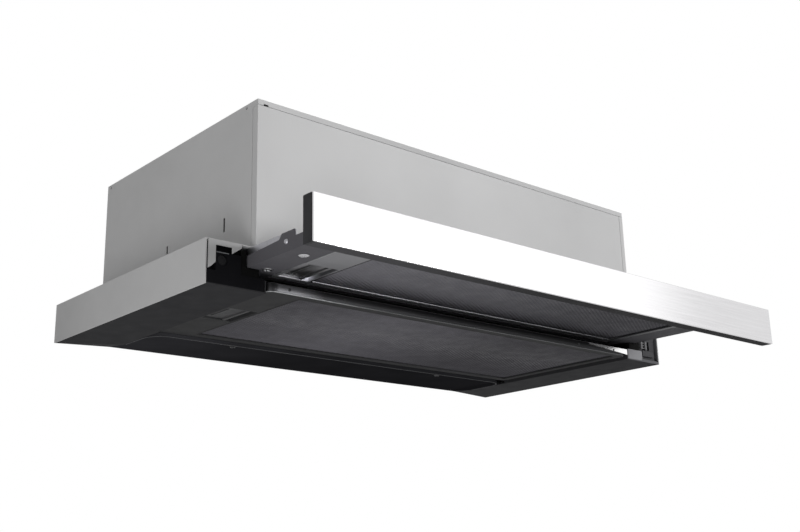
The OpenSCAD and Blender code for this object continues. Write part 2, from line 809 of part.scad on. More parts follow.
// Slides
module rail_bracket(s) {
    color("silver") on_side(s) union() {
        block(bracket_x - sheet_t, bracket_x, rail_front, bracket_rear, rail_bottom, -2*sheet_t);
        block(bracket_x - sheet_t, bracket_x + bracket_w, rail_front, bracket_rear, -3*sheet_t, -2*sheet_t);
    }
}
module rail_bracket_left() { rail_bracket(-1); }
module rail_bracket_right() { rail_bracket(1); }

module rail_outer(s) {
    color("silver") on_side(s) union() {
        block(bracket_x, rail_web_x, rail_front, rail_rear, rail_bottom, rail_top);
        for (z = [rail_bottom, rail_top - sheet_t])
            block(bracket_x, bracket_x + rail_lip, rail_front, rail_rear, z, z + sheet_t);
    }
}
module rail_outer_left() { rail_outer(-1); }
module rail_outer_right() { rail_outer(1); }

// Inner profile with the rivet that holds it on the visor's web
module rail_inner(s) {
    x1 = visor_x - sheet_t;
    color("silver") on_side(s) union() {
        difference() {
            union() {
                block(x1 - sheet_t, x1, inner_rail_front, inner_rail_rear, inner_rail_bottom, slide_top);
                for (z = [inner_rail_bottom, inner_rail_top - sheet_t])
                    block(x1 - inner_rail_w, x1, inner_rail_front, inner_rail_rear, z, z + sheet_t);
            }
            for (y = [inner_rail_front + rail_hole_in:rail_hole_pitch:inner_rail_rear - rail_hole_in/2])
                translate([x1 - 2, y, (inner_rail_top + inner_rail_bottom)/2]) rotate([0, 90, 0])
                    cylinder(r = 1.6, h = 3);
        }
        translate([x1 - eps, inner_rail_front + rivet_y, rivet_z]) rotate([0, 90, 0])
            cylinder(r = rivet_r - 0.8, h = sheet_t + eps);
        translate([visor_x, inner_rail_front + rivet_y, rivet_z]) rotate([0, 90, 0])
            cylinder(r1 = rivet_r, r2 = rivet_r - 0.7, h = 1);
    }
}
module rail_inner_left() { rail_inner(-1); }
module rail_inner_right() { rail_inner(1); }

// Runner under the visor's edge, with a cheek beside its web
module guide(s) {
    x0 = visor_screw_x + visor_screw_head + slide_play;
    cheek_x = visor_x + 1.5;
    x1 = flange_front_x - play;
    y0 = front_y + sheet_t + play;
    color("#1c1c1c") on_side(s) difference() {
        union() {
            block(x0, x1, y0, guide_rear, corner_block_top, guide_base_top);
            block(cheek_x, x1, y0, guide_rear, guide_base_top - eps, guide_cheek_top);
        }
        block(x0 + 3, cheek_x - 2, y0 + 5, guide_rear - 5, corner_block_top - 1, guide_base_top - 2.5);
    }
}
module guide_left() { guide(-1); }
module guide_right() { guide(1); }

// Controls
module button_housing() {
    rear = front_y + housing_depth;
    face_y = front_y + 0.2;
    low_x = opening_x + sheet_t + play;
    high_x = flange_front_x + play;
    recess_y = front_y + housing_recess;
    color("#1a1a1a") difference() {
        on_side(-1) difference() {
            union() {
                block(low_x, inner_x, face_y, rear, margin_top, corner_block_top);
                block(high_x, inner_x, recess_y, rear, corner_block_top - eps, -sheet_t - play);
                block(high_x, flange_cut[1] - play, face_y, recess_y + eps, corner_block_top - eps,
                    button_z + button_frame/2);
            }
            translate([0, recess_y, 0]) rotate([90, 0, 0]) linear_extrude(housing_recess + 1)
                polygon([[high_x - 1, 0], [flange_cut[0] + play, 0],
                    [flange_cut[0] + play, flange_tongue - play], [high_x - 1, -flange_band]]);
        }
        translate([-button_x, front_y - 1, button_z]) rotate([-90, 0, 0])
            cylinder(r = button_r + play, h = 1 + button_inset + button_l + button_travel + play);
        translate([-button_x, front_y, button_z]) rotate([-90, 0, 0])
            cylinder(r = button_stem_r + play, h = housing_depth + 1);
    }
}

module power_button() {
    place = [-button_x, front_y + button_inset, button_z];
    color("#2a2a2a") translate(place) rotate([-90, 0, 0]) difference() {
        union() {
            cylinder(r = button_r, h = button_l);
            translate([0, 0, button_l - 1]) cylinder(r = button_stem_r, h = 6);
        }
        translate([0, 0, -1]) cylinder(r = button_r - 1.6, h = 1.6);
    }
}

module selector_housing() {
    stem = 1.6;
    rear = front_y + housing_depth + 8;
    x1 = inner_x - selector_gap;
    slot_x = knob_x + knob_w/2 + 4.7;
    slot_t = 3.3;
    knob_top = knob_bottom + knob_h + knob_travel;
    color("#202022") difference() {
        union() {
            block(corner_x1 + play, x1, selector_y, rear, margin_top, corner_block_top + eps);
            block(flange_front_x + play, x1, selector_y, rear, corner_block_top, -sheet_t - play);
            block(knob_step[0], knob_step[1], front_y + play, selector_y + eps, knob_step_z[0],
                knob_step_z[1]);
        }
        block(knob_x - knob_w/2 - play, knob_x + knob_w/2 + play, selector_y - 1, selector_y + 4,
            knob_bottom - play, knob_top + play);
        block(knob_x - stem, knob_x + stem, selector_y, rear + 1, knob_bottom + knob_h/2 - 2 - play,
            knob_top - knob_h/2 + 2 + play);
        block(slot_x, slot_x + slot_t, selector_y - 1, selector_y + 8, knob_bottom, knob_bottom + knob_h + 1);
    }
}

// Slider with two upright ribs and rungs between them
module speed_knob() {
    x0 = knob_x - knob_w/2;
    x1 = knob_x + knob_w/2;
    plate_y = selector_y + 1.6;
    rung = 1;
    stem_z = knob_bottom + knob_h/2;
    color("lightgray") union() {
        block(x0, x1, plate_y, selector_y + 3.6, knob_bottom, knob_bottom + knob_h);
        for (x = [x0, x1 - knob_rib])
            block(x, x + knob_rib, front_y + 1.2, plate_y + eps, knob_bottom, knob_bottom + knob_h);
        for (i = [0:2])
            block(x0 + knob_rib - eps, x1 - knob_rib + eps, front_y + 2.4, plate_y + eps,
                knob_bottom + rung + i*(knob_h - 3*rung)/2, knob_bottom + 2*rung + i*(knob_h - 3*rung)/2);
        block(knob_x - 1.2, knob_x + 1.2, selector_y + 3.5, selector_y + 10, stem_z - 2, stem_z + 2);
    }
}

module corner_bracket() {
    x0 = opening_x + sheet_t + play;
    wall = 1.5;
    color("#9a9a9c") difference() {
        block(x0, corner_x1, front_y, front_y + 20, margin_top, corner_block_top);
        block(x0 + wall, corner_x1 - wall, front_y + wall, front_y + 21, margin_top + wall,
            corner_block_top - wall);
    }
}

module visor_switch() {
    color("#b02a20") difference() {
        block(bracket_x, visor_x + 2, switch_y, switch_y + switch_l, rail_bottom + 1, rail_top - 1);
        translate([plunger_x, switch_y - 1, plunger_z]) rotate([-90, 0, 0])
            cylinder(r = plunger_r + pin_play, h = 8 + plunger_travel);
    }
}

module switch_plunger() {
    color("ivory") translate([plunger_x, switch_y - plunger_travel, plunger_z])
        rotate([-90, 0, 0]) cylinder(r = plunger_r, h = plunger_travel + 5);
}

// Visor
module visor_frame() {
    fx = front_filter_x + slide_play;
    ear_rear = inner_rail_front + web_ear;
    color("#4a4a4f") difference() {
        union() {
            block(-visor_x, visor_x, visor_front, visor_rear, visor_bottom, visor_bottom + sheet_t);
            for (s = [-1, 1])
                on_side(s) along_x(visor_x - sheet_t, visor_x)
                    polygon([[carrier_rear + 3, visor_bottom], [visor_rear, visor_bottom],
                        [visor_rear, web_tail_top], [ear_rear + 4, web_ridge_top], [ear_rear, slide_top],
                        [inner_rail_front, slide_top], [inner_rail_front - 1.2, web_top],
                        [carrier_rear + 3, web_top]]);
            block(3 - bracket_x, bracket_x - 3, visor_rear - sheet_t, visor_rear, visor_bottom,
                visor_bottom + 7);
            block(-visor_x + 4, visor_x - 4, visor_front, visor_front + sheet_t, visor_bottom,
                fascia_top - channel_t - play);
        }
        block(-fx, fx, front_filter_front - slide_play, front_filter_rear + slide_play,
            visor_bottom - 1, visor_bottom + 5);
        for (y = visor_screw_y)
            translate([-visor_screw_x, y, visor_bottom - 1]) cylinder(r = pilot_r, h = 4);
        for (s = [-1, 1])
            translate([s*visor_x, inner_rail_front + rivet_y, rivet_z]) rotate([0, s*90, 0])
                cylinder(r = rivet_r - 0.8 + pin_play, h = 4, center = true);
    }
}

module visor_screws() {
    color("gainsboro") for (y = visor_screw_y)
        translate([-visor_screw_x, y, visor_bottom]) rotate([180, 0, 0])
            screw(visor_screw_head, 1.2, screw_r, 5);
}

module fascia() {
    color("gainsboro") block(-half_w, half_w, fascia_front, carrier_front, fascia_bottom, fascia_top);
}

module fascia_channel() {
    x = half_w - cap_t;
    color("#3c3c40") difference() {
        block(-x, x, carrier_front, carrier_rear, fascia_bottom, fascia_top);
        block(-x - 1, x + 1, carrier_front + channel_t, carrier_rear - channel_t, fascia_bottom + channel_t,
            fascia_top - channel_t);
        block(-x - 1, x + 1, carrier_rear - 2, carrier_rear + 1, fascia_bottom + 6, fascia_top - 6);
        block(-visor_x - 0.4, visor_x + 0.4, carrier_rear - 2, carrier_rear + 1, visor_bottom - 0.4,
            web_top + 0.4);
    }
}

module fascia_cap(s) {
    color("#3a3a3c") on_side(s) union() {
        block(half_w - cap_t, half_w, carrier_front, carrier_rear, fascia_bottom, fascia_top);
        block(half_w - cap_t - 6, half_w - cap_t + eps, carrier_front + 1.4, carrier_front + 3,
            fascia_bottom + 1.5, fascia_top - 1.5);
    }
}
module fascia_cap_left() { fascia_cap(-1); }
module fascia_cap_right() { fascia_cap(1); }

// Grease filters: a folded frame with one wide bar for the latch, and a mesh core
module filter_frame(x, y0, y1, z0, latch_y) {
    open_x0 = -x + latch_bar;
    open_x1 = x - filter_bar;
    pocket_x0 = -x + latch_inset;
    difference() {
        rounded_plate(x, y0, y1, z0, z0 + filter_t, filter_r, filter_r);
        block(open_x0, open_x1, y0 + filter_bar, y1 - filter_bar, z0 - 1, z0 + filter_t + 1);
        block(open_x0 - 1, open_x1 + core_lap, y0 + core_inset, y1 - core_inset,
            z0 + filter_skin, z0 + filter_t - filter_skin);
        block(pocket_x0, pocket_x0 + latch_w + latch_travel + 1, latch_y - latch_l/2 - 1,
            latch_y + latch_l/2 + 1, z0 - 1, z0 + 3.4);
        block(-x - 1, pocket_x0 + 1, latch_y - bolt_w/2 - 0.4, latch_y + bolt_w/2 + 0.4, z0 + 1.4, z0 + 3.4);
    }
}

module filter_core(x, y0, y1, z0) {
    block(-x + latch_bar - 1, x - filter_bar + core_lap, y0 + core_inset, y1 - core_inset,
        z0 + filter_skin, z0 + filter_t - filter_skin);
}

// Slider with a finger slot and a ridge, and a bolt that reaches past the frame's end
module filter_latch(x, z0, latch_y, reach) {
    slider_x0 = -x + latch_inset + 0.4;
    ridge_x = slider_x0 + latch_w - 3.4;
    difference() {
        union() {
            block(slider_x0, slider_x0 + latch_w, latch_y - latch_l/2, latch_y + latch_l/2,
                z0 + 1.6, z0 + 3.2);
            block(ridge_x, ridge_x + 3, latch_y - latch_l/2, latch_y + latch_l/2,
                z0 + 0.2, z0 + 1.6 + eps);
            block(-x - reach, slider_x0 + 1, latch_y - bolt_w/2, latch_y + bolt_w/2, z0 + 1.6, z0 + 3.2);
        }
        block(slider_x0 + 3, slider_x0 + 6.5, latch_y - latch_l/2 + 6, latch_y + latch_l/2 - 6,
            z0, z0 + 2.6);
    }
}

module rear_filter_frame() {
    color("silver") union() {
        filter_frame(rear_filter_x, rear_filter_front, rear_filter_rear, rear_filter_bottom, rear_latch_y);
        for (y = hook_y)
            block(rear_filter_x - eps, rear_filter_x + hook_l, y - hook_w/2, y + hook_w/2,
                hook_z - hook_t/2, hook_z + hook_t/2);
    }
}

module rear_filter_core() {
    color("gray") filter_core(rear_filter_x, rear_filter_front, rear_filter_rear, rear_filter_bottom);
}

module rear_latch() {
    color("darkgray") filter_latch(rear_filter_x, rear_filter_bottom, rear_latch_y,
        opening_x - rear_filter_x - play);
}

module front_filter_frame() {
    color("silver") filter_frame(front_filter_x, front_filter_front, front_filter_rear, front_filter_bottom,
        front_latch_y);
}

module front_filter_core() {
    color("gray") filter_core(front_filter_x, front_filter_front, front_filter_rear, front_filter_bottom);
}

module front_latch() {
    color("darkgray") filter_latch(front_filter_x, front_filter_bottom, front_latch_y, 0.2);
}

side_panel_left();
side_panel_right();
rear_wall();
front_crossbar();
liner_left();
liner_right();
rear_cover();
cover_screws();
body_front_plate();
body_side_left();
body_side_right();
body_rear_plate();
body_top_plate();
duct_collar();
collar_screws();
flap_pin();
flap_front();
flap_rear();
scroll_left();
scroll_right();
scroll_screws();
impeller();
impeller_rings();
impeller_blades();
motor_shaft();
motor_body();
motor_bracket();
capacitor();
capacitor_clip();
terminal_box();
terminal_lid();
terminal_block();
cable_gland();
rail_bracket_left();
rail_bracket_right();
rail_outer_left();
rail_outer_right();
guide_left();
guide_right();
button_housing();
power_button();
selector_housing();
speed_knob();
corner_bracket();
visor_switch();
switch_plunger();
visor_frame();
visor_screws();
rail_inner_left();
rail_inner_right();
fascia();
fascia_channel();
fascia_cap_left();
fascia_cap_right();
front_filter_frame();
front_filter_core();
front_latch();
rear_filter_frame();
rear_filter_core();
rear_latch();
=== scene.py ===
import json
import math

import bmesh
import bpy
import numpy as np
from mathutils import Matrix, Vector


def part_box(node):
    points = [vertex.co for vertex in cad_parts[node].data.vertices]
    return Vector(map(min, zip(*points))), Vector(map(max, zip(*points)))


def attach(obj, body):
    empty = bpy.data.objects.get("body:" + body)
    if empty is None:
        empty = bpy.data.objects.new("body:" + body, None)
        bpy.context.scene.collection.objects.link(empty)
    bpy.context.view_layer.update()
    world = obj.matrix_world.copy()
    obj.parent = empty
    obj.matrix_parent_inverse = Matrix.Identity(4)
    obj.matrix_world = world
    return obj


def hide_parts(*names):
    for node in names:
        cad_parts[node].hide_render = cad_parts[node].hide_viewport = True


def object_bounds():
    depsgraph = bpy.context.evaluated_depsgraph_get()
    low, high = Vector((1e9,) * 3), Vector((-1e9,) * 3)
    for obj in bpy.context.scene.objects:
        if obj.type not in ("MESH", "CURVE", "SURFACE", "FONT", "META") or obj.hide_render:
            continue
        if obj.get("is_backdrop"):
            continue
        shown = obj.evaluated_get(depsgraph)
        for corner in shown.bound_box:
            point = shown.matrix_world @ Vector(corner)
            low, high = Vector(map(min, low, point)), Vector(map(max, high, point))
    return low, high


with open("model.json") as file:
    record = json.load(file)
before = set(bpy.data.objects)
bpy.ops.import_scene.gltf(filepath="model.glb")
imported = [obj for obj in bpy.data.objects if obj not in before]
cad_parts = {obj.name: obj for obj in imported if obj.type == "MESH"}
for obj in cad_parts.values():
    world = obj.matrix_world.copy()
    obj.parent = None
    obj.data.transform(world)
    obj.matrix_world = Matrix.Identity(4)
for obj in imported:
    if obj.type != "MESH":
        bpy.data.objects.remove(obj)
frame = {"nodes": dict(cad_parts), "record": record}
nodes = frame["nodes"]
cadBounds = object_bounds()
mm = 0.001


# Camera, backdrop and lights

cameraValues = {
    "place": (-0.7322, -0.8618, -0.2669),
    "azimuth": -41.506,  # degrees round the hood, 0 looks at the fascia
    "elevation": -16.084,
    "roll": -1.327,
    "lens": 48.91,
    "sensor": 36.0,
    "clip": (0.01, 50),
}
studio = {
    "floorHeight": -2.6,  # so low that a view from below stays above it
    "floorHalf": 30.0,
    "floorColor": (0.86, 0.86, 0.86),
    "floorLift": 0.52,  # how much the camera's view of the floor is lifted towards white
    "ambient": 0.36,
    "lamps": [
        # name, place, target, width, height, watts
        ("keyLamp", (1.1, -2.3, -0.1), (-0.05, -0.1, 0.05), 0.7, 0.7, 40.0),
        ("stripLamp", (1.775, -2.25, 0.78), (0.0, -0.28, 0.0), 1.45, 1.2, 3.1),
        ("bounceLamp", (-1.0, -0.65, -0.65), (-0.1, 0.0, 0.0), 0.6, 0.6, 5.2),
        ("fillLamp", (-2.1, -0.4, 0.9), (0.0, 0.0, 0.0), 1.2, 1.2, 0.6),
        ("rimLamp", (0.4, 1.9, 1.3), (0.0, 0.0, 0.1), 1.4, 1.0, 16.0),
    ],
}


def addCamera(values):
    # The direction back from the hood is the fascia's, turned by the azimuth and lifted by the elevation;
    # the picture's right and up are level and upright, turned by the roll.
    azimuth, elevation, roll = (math.radians(values[k]) for k in ("azimuth", "elevation", "roll"))
    back = Vector((math.sin(azimuth) * math.cos(elevation), -math.cos(azimuth) * math.cos(elevation),
                   math.sin(elevation)))
    level = Vector((0, 0, 1)).cross(back).normalized()
    upright = back.cross(level)
    right = level * math.cos(roll) + upright * math.sin(roll)
    up = upright * math.cos(roll) - level * math.sin(roll)
    camera = bpy.data.objects.new("camera", bpy.data.cameras.new("camera"))
    camera.data.sensor_width = values["sensor"]
    camera.data.lens = values["lens"]
    camera.data.clip_start, camera.data.clip_end = values["clip"]
    place = Matrix((right, up, back)).transposed().to_4x4()
    place.translation = Vector(values["place"])
    camera.matrix_world = place
    bpy.context.scene.collection.objects.link(camera)
    bpy.context.scene.camera = camera


def seenDirectly(tree):
    # 1 for camera, glossy and transmission rays, 0 for the rays that light a matt surface.
    path = tree.nodes.new("ShaderNodeLightPath")
    first = tree.nodes.new("ShaderNodeMath")
    first.operation = "MAXIMUM"
    second = tree.nodes.new("ShaderNodeMath")
    second.operation = "MAXIMUM"
    tree.links.new(path.outputs["Is Camera Ray"], first.inputs[0])
    tree.links.new(path.outputs["Is Glossy Ray"], first.inputs[1])
    tree.links.new(first.outputs[0], second.inputs[0])
    tree.links.new(path.outputs["Is Transmission Ray"], second.inputs[1])
    return second.outputs[0]


def addStudio(values):
    # A world and a floor that look white and shine little on matt surfaces, and the lamps.
    scene = bpy.context.scene
    scene.view_settings.view_transform = "Standard"
    world = bpy.data.worlds.new("paleStudio")
    world.use_nodes = True
    scene.world = world
    tree = world.node_tree
    tree.nodes.clear()
    dim = tree.nodes.new("ShaderNodeBackground")
    dim.inputs["Strength"].default_value = values["ambient"]
    white = tree.nodes.new("ShaderNodeBackground")
    for shader in (dim, white):
        shader.inputs["Color"].default_value = (1, 1, 1, 1)
    mix = tree.nodes.new("ShaderNodeMixShader")
    out = tree.nodes.new("ShaderNodeOutputWorld")
    tree.links.new(seenDirectly(tree), mix.inputs[0])
    tree.links.new(dim.outputs[0], mix.inputs[1])
    tree.links.new(white.outputs[0], mix.inputs[2])
    tree.links.new(mix.outputs[0], out.inputs["Surface"])

    half, height = values["floorHalf"], values["floorHeight"]
    mesh = bpy.data.meshes.new("studioFloor")
    mesh.from_pydata([(-half, -half, height), (half, -half, height), (half, half, height),
                      (-half, half, height)], [], [(0, 1, 2, 3)])
    floor = bpy.data.objects.new("studioFloor", mesh)
    scene.collection.objects.link(floor)
    material = bpy.data.materials.new("paleFloor")
    material.use_nodes = True
    tree = material.node_tree
    tree.nodes.clear()
    matt = tree.nodes.new("ShaderNodeBsdfDiffuse")
    matt.inputs["Color"].default_value = (*values["floorColor"], 1)
    glow = tree.nodes.new("ShaderNodeEmission")
    lift = tree.nodes.new("ShaderNodeMath")
    lift.operation = "MULTIPLY"
    lift.inputs[1].default_value = values["floorLift"]
    add = tree.nodes.new("ShaderNodeAddShader")
    out = tree.nodes.new("ShaderNodeOutputMaterial")
    tree.links.new(seenDirectly(tree), lift.inputs[0])
    tree.links.new(lift.outputs[0], glow.inputs["Strength"])
    tree.links.new(matt.outputs[0], add.inputs[0])
    tree.links.new(glow.outputs[0], add.inputs[1])
    tree.links.new(add.outputs[0], out.inputs["Surface"])
    mesh.materials.append(material)
    floor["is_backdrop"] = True

    for name, place, target, width, height, watts in values["lamps"]:
        light = bpy.data.lights.new(name, "AREA")
        light.shape = "RECTANGLE"
        light.size, light.size_y = width, height
        light.energy = watts
        lamp = bpy.data.objects.new(name, light)
        lamp.visible_camera = False
        lamp.location = place
        lamp.rotation_euler = (Vector(target) - Vector(place)).to_track_quat("-Z", "Y").to_euler()
        scene.collection.objects.link(lamp)


addCamera(cameraValues)
addStudio(studio)
print("camera and studio ready")


# Finishes

patternBand = (0.3, 0.7)  # a noise pattern's values lie mostly between these
paintGrain = {
    # patterns: features per metre, octaves
    "cloud": (7, 4),
    "cloudShade": 0.045,  # share by which the colour runs darker and lighter
    "sheen": (60, 2),
    "sheenSpread": 0.05,  # of the roughness
    "peel": (700, 2),
    "peelDepth": 0.00005,  # metres
}
plasticGrain = {
    "cloud": (25, 3),
    "cloudShade": 0.12,
    "sheen": (90, 3),
    "sheenSpread": 0.07,
    "spark": (1800, 2),
    "sparkDepth": 0.00006,
}
brushGrain = {
    "lines": (1400, 4),
    "stretch": 0.012,  # the smaller, the longer the hair lines
    "streak": 0.10,
    "sheenSpread": 0.04,
    "depth": 0.00002,
}
plateGrain = {
    "crystals": (120, 5),
    "distortion": 1.2,
    "mottle": 0.08,
    "lightShift": (1.0, 1.0, 1.03),  # the lighter crystals are a little bluer
    "sheen": (60, 3),
    "sheenSpread": 0.08,
    "grain": (900, 3),
    "grainDepth": 0.00002,
}


class Finish:
    # One procedural material: a Principled shader whose patterns all read object coordinates, in metres.

    def __init__(self, name, color, roughness, metallic=0.0, specular=0.5):
        self.material = bpy.data.materials.new(name)
        self.material.use_nodes = True
        self.tree = self.material.node_tree
        self.shader = self.tree.nodes["Principled BSDF"]
        self.color = np.array(color, float)
        self.roughness = roughness
        self.shader.inputs["Base Color"].default_value = (*color, 1)
        self.shader.inputs["Roughness"].default_value = roughness
        self.shader.inputs["Metallic"].default_value = metallic
        self.shader.inputs["Specular IOR Level"].default_value = specular
        self.coordinates = self.tree.nodes.new("ShaderNodeTexCoord").outputs["Object"]

    def noise(self, scale, detail, stretch=(1, 1, 1), distortion=0.0):
        # Noise of about one feature in 1/scale metres, drawn out where stretch is small.
        mapping = self.tree.nodes.new("ShaderNodeMapping")
        mapping.inputs["Scale"].default_value = stretch
        noise = self.tree.nodes.new("ShaderNodeTexNoise")
        noise.inputs["Scale"].default_value = scale
        noise.inputs["Detail"].default_value = detail
        noise.inputs["Distortion"].default_value = distortion
        self.tree.links.new(self.coordinates, mapping.inputs["Vector"])
        self.tree.links.new(mapping.outputs[0], noise.inputs["Vector"])
        return noise.outputs["Fac"]

    def tint(self, pattern, spread, shift=(1, 1, 1)):
        # The colour runs from a darker to a lighter shade with the pattern.
        ramp = self.tree.nodes.new("ShaderNodeValToRGB")
        low = np.clip(self.color * (1 - spread), 0, 1)
        high = np.clip(self.color * (1 + spread) * np.array(shift), 0, 1)
        for element, position, shade in zip(ramp.color_ramp.elements, patternBand, (low, high)):
            element.position = position
            element.color = (*shade, 1)
        self.tree.links.new(pattern, ramp.inputs[0])
        self.tree.links.new(ramp.outputs[0], self.shader.inputs["Base Color"])

    def gloss(self, pattern, spread):
        # The roughness varies by the spread round its mean with the pattern.
        band = self.tree.nodes.new("ShaderNodeMapRange")
        band.inputs["From Min"].default_value, band.inputs["From Max"].default_value = patternBand
        band.inputs["To Min"].default_value = self.roughness - spread
        band.inputs["To Max"].default_value = self.roughness + spread
        self.tree.links.new(pattern, band.inputs["Value"])
        self.tree.links.new(band.outputs[0], self.shader.inputs["Roughness"])

    def bump(self, pattern, depth):
        # The surface rises and falls by about the depth, in metres, with the pattern.
        bump = self.tree.nodes.new("ShaderNodeBump")
        bump.inputs["Distance"].default_value = depth
        bump.inputs["Strength"].default_value = 1.0
        self.tree.links.new(pattern, bump.inputs["Height"])
        self.tree.links.new(bump.outputs[0], self.shader.inputs["Normal"])

    def shade(self, axis, start, end, gain):
        # The colour is multiplied by 1 at the start and by the gain at the end, two places on an axis in mm:
        # painted light and shade.
        split = self.tree.nodes.new("ShaderNodeSeparateXYZ")
        ramp = self.tree.nodes.new("ShaderNodeMapRange")
        ramp.inputs["From Min"].default_value = start * mm
        ramp.inputs["From Max"].default_value = end * mm
        mix = self.tree.nodes.new("ShaderNodeMix")
        mix.data_type = "RGBA"
        mix.blend_type = "MULTIPLY"
        first, second = mix.inputs[6:8]  # the node's two colour sockets
        second.default_value = (gain, gain, gain, 1)
        colorIn = self.shader.inputs["Base Color"]
        self.tree.links.new(self.coordinates, split.inputs[0])
        self.tree.links.new(split.outputs[axis], ramp.inputs["Value"])
        self.tree.links.new(ramp.outputs[0], mix.inputs[0])
        self.tree.links.new(colorIn.links[0].from_socket, first)
        self.tree.links.new(mix.outputs[2], colorIn)


def powderCoat(name, color, roughness, specular=0.4):
    # Sprayed paint: orange peel of a millimetre or two, and cloudy shade.
    finish = Finish(name, color, roughness, specular=specular)
    finish.tint(finish.noise(*paintGrain["cloud"]), paintGrain["cloudShade"])
    finish.gloss(finish.noise(*paintGrain["sheen"]), paintGrain["sheenSpread"])
    finish.bump(finish.noise(*paintGrain["peel"]), paintGrain["peelDepth"])
    return finish


def mouldedPlastic(name, color, roughness, specular=0.4):
    # Spark-eroded mould texture: a fine even grain, slightly shinier where it is worn.
    finish = Finish(name, color, roughness, specular=specular)
    finish.tint(finish.noise(*plasticGrain["cloud"]), plasticGrain["cloudShade"])
    finish.gloss(finish.noise(*plasticGrain["sheen"]), plasticGrain["sheenSpread"])
    finish.bump(finish.noise(*plasticGrain["spark"]), plasticGrain["sparkDepth"])
    return finish


def brushedMetal(name, color, roughness, axis="X", **changes):
    # Metal with hair lines along one axis: noise drawn out many times along it.
    grain = {**brushGrain, **changes}
    finish = Finish(name, color, roughness, metallic=1.0)
    stretch = [grain["stretch"] if axis == each else 1 for each in "XYZ"]
    lines = finish.noise(*grain["lines"], stretch)
    finish.tint(lines, grain["streak"])
    finish.gloss(lines, grain["sheenSpread"])
    finish.bump(lines, grain["depth"])
    return finish


def platedMetal(name, color, roughness, mottle=plateGrain["mottle"]):
    # Zinc or nickel plate: faint crystals and a soft uneven shine.
    finish = Finish(name, color, roughness, metallic=1.0)
    crystals = finish.noise(*plateGrain["crystals"], distortion=plateGrain["distortion"])
    finish.tint(crystals, mottle, plateGrain["lightShift"])
    finish.gloss(finish.noise(*plateGrain["sheen"]), plateGrain["sheenSpread"])
    finish.bump(finish.noise(*plateGrain["grain"]), plateGrain["grainDepth"])
    return finish


# Paint and plastic: name, colour, roughness, specular level. Metal: name, colour, roughness, and for
# plate its mottle, for brushed metal its axis and what differs from brushGrain.
greyPaint = ((0.48, 0.48, 0.482), 0.5, 0.25)
finishes = {
    "painted_grey": powderCoat("paintedGrey", *greyPaint),
    "charcoal_paint": powderCoat("charcoalPaint", (0.078, 0.077, 0.084), 0.62, 0.12),
    "charcoal_plastic": mouldedPlastic("charcoalPlastic", (0.020, 0.020, 0.022), 0.6, 0.12),
    "black_plastic": mouldedPlastic("blackPlastic", (0.010, 0.010, 0.010), 0.5, 0.2),
    "grey_plastic": mouldedPlastic("greyPlastic", (0.11, 0.115, 0.12), 0.5),
    "light_plastic": mouldedPlastic("lightPlastic", (0.34, 0.34, 0.345), 0.45),
    "white_plastic": mouldedPlastic("whitePlastic", (0.72, 0.71, 0.67), 0.42),
    "red_plastic": mouldedPlastic("redPlastic", (0.40, 0.03, 0.02), 0.42),
    "stainless": brushedMetal("brushedStainless", (0.68, 0.675, 0.685), 0.14,
                              streak=0.035, sheenSpread=0.02, depth=0.00001),
    "zinc_steel": platedMetal("zincSteel", (0.44, 0.45, 0.465), 0.38),
    "bright_steel": platedMetal("brightSteel", (0.72, 0.72, 0.72), 0.24, 0.04),
    "motor_steel": powderCoat("motorSteel", (0.28, 0.29, 0.30), 0.45),
    "filter_aluminium": brushedMetal("filterAluminium", (0.16, 0.16, 0.165), 0.5, streak=0.12),
    "filter_mesh": platedMetal("filterMesh", (0.13, 0.13, 0.135), 0.55, 0.15),
}
slideZinc = platedMetal("slideZinc", (0.30, 0.30, 0.315), 0.42)
slideZincOuter = platedMetal("slideZincOuter", (0.26, 0.26, 0.275), 0.42)
guideBlack = mouldedPlastic("guideBlack", (0.005, 0.005, 0.005), 0.7, 0.03)
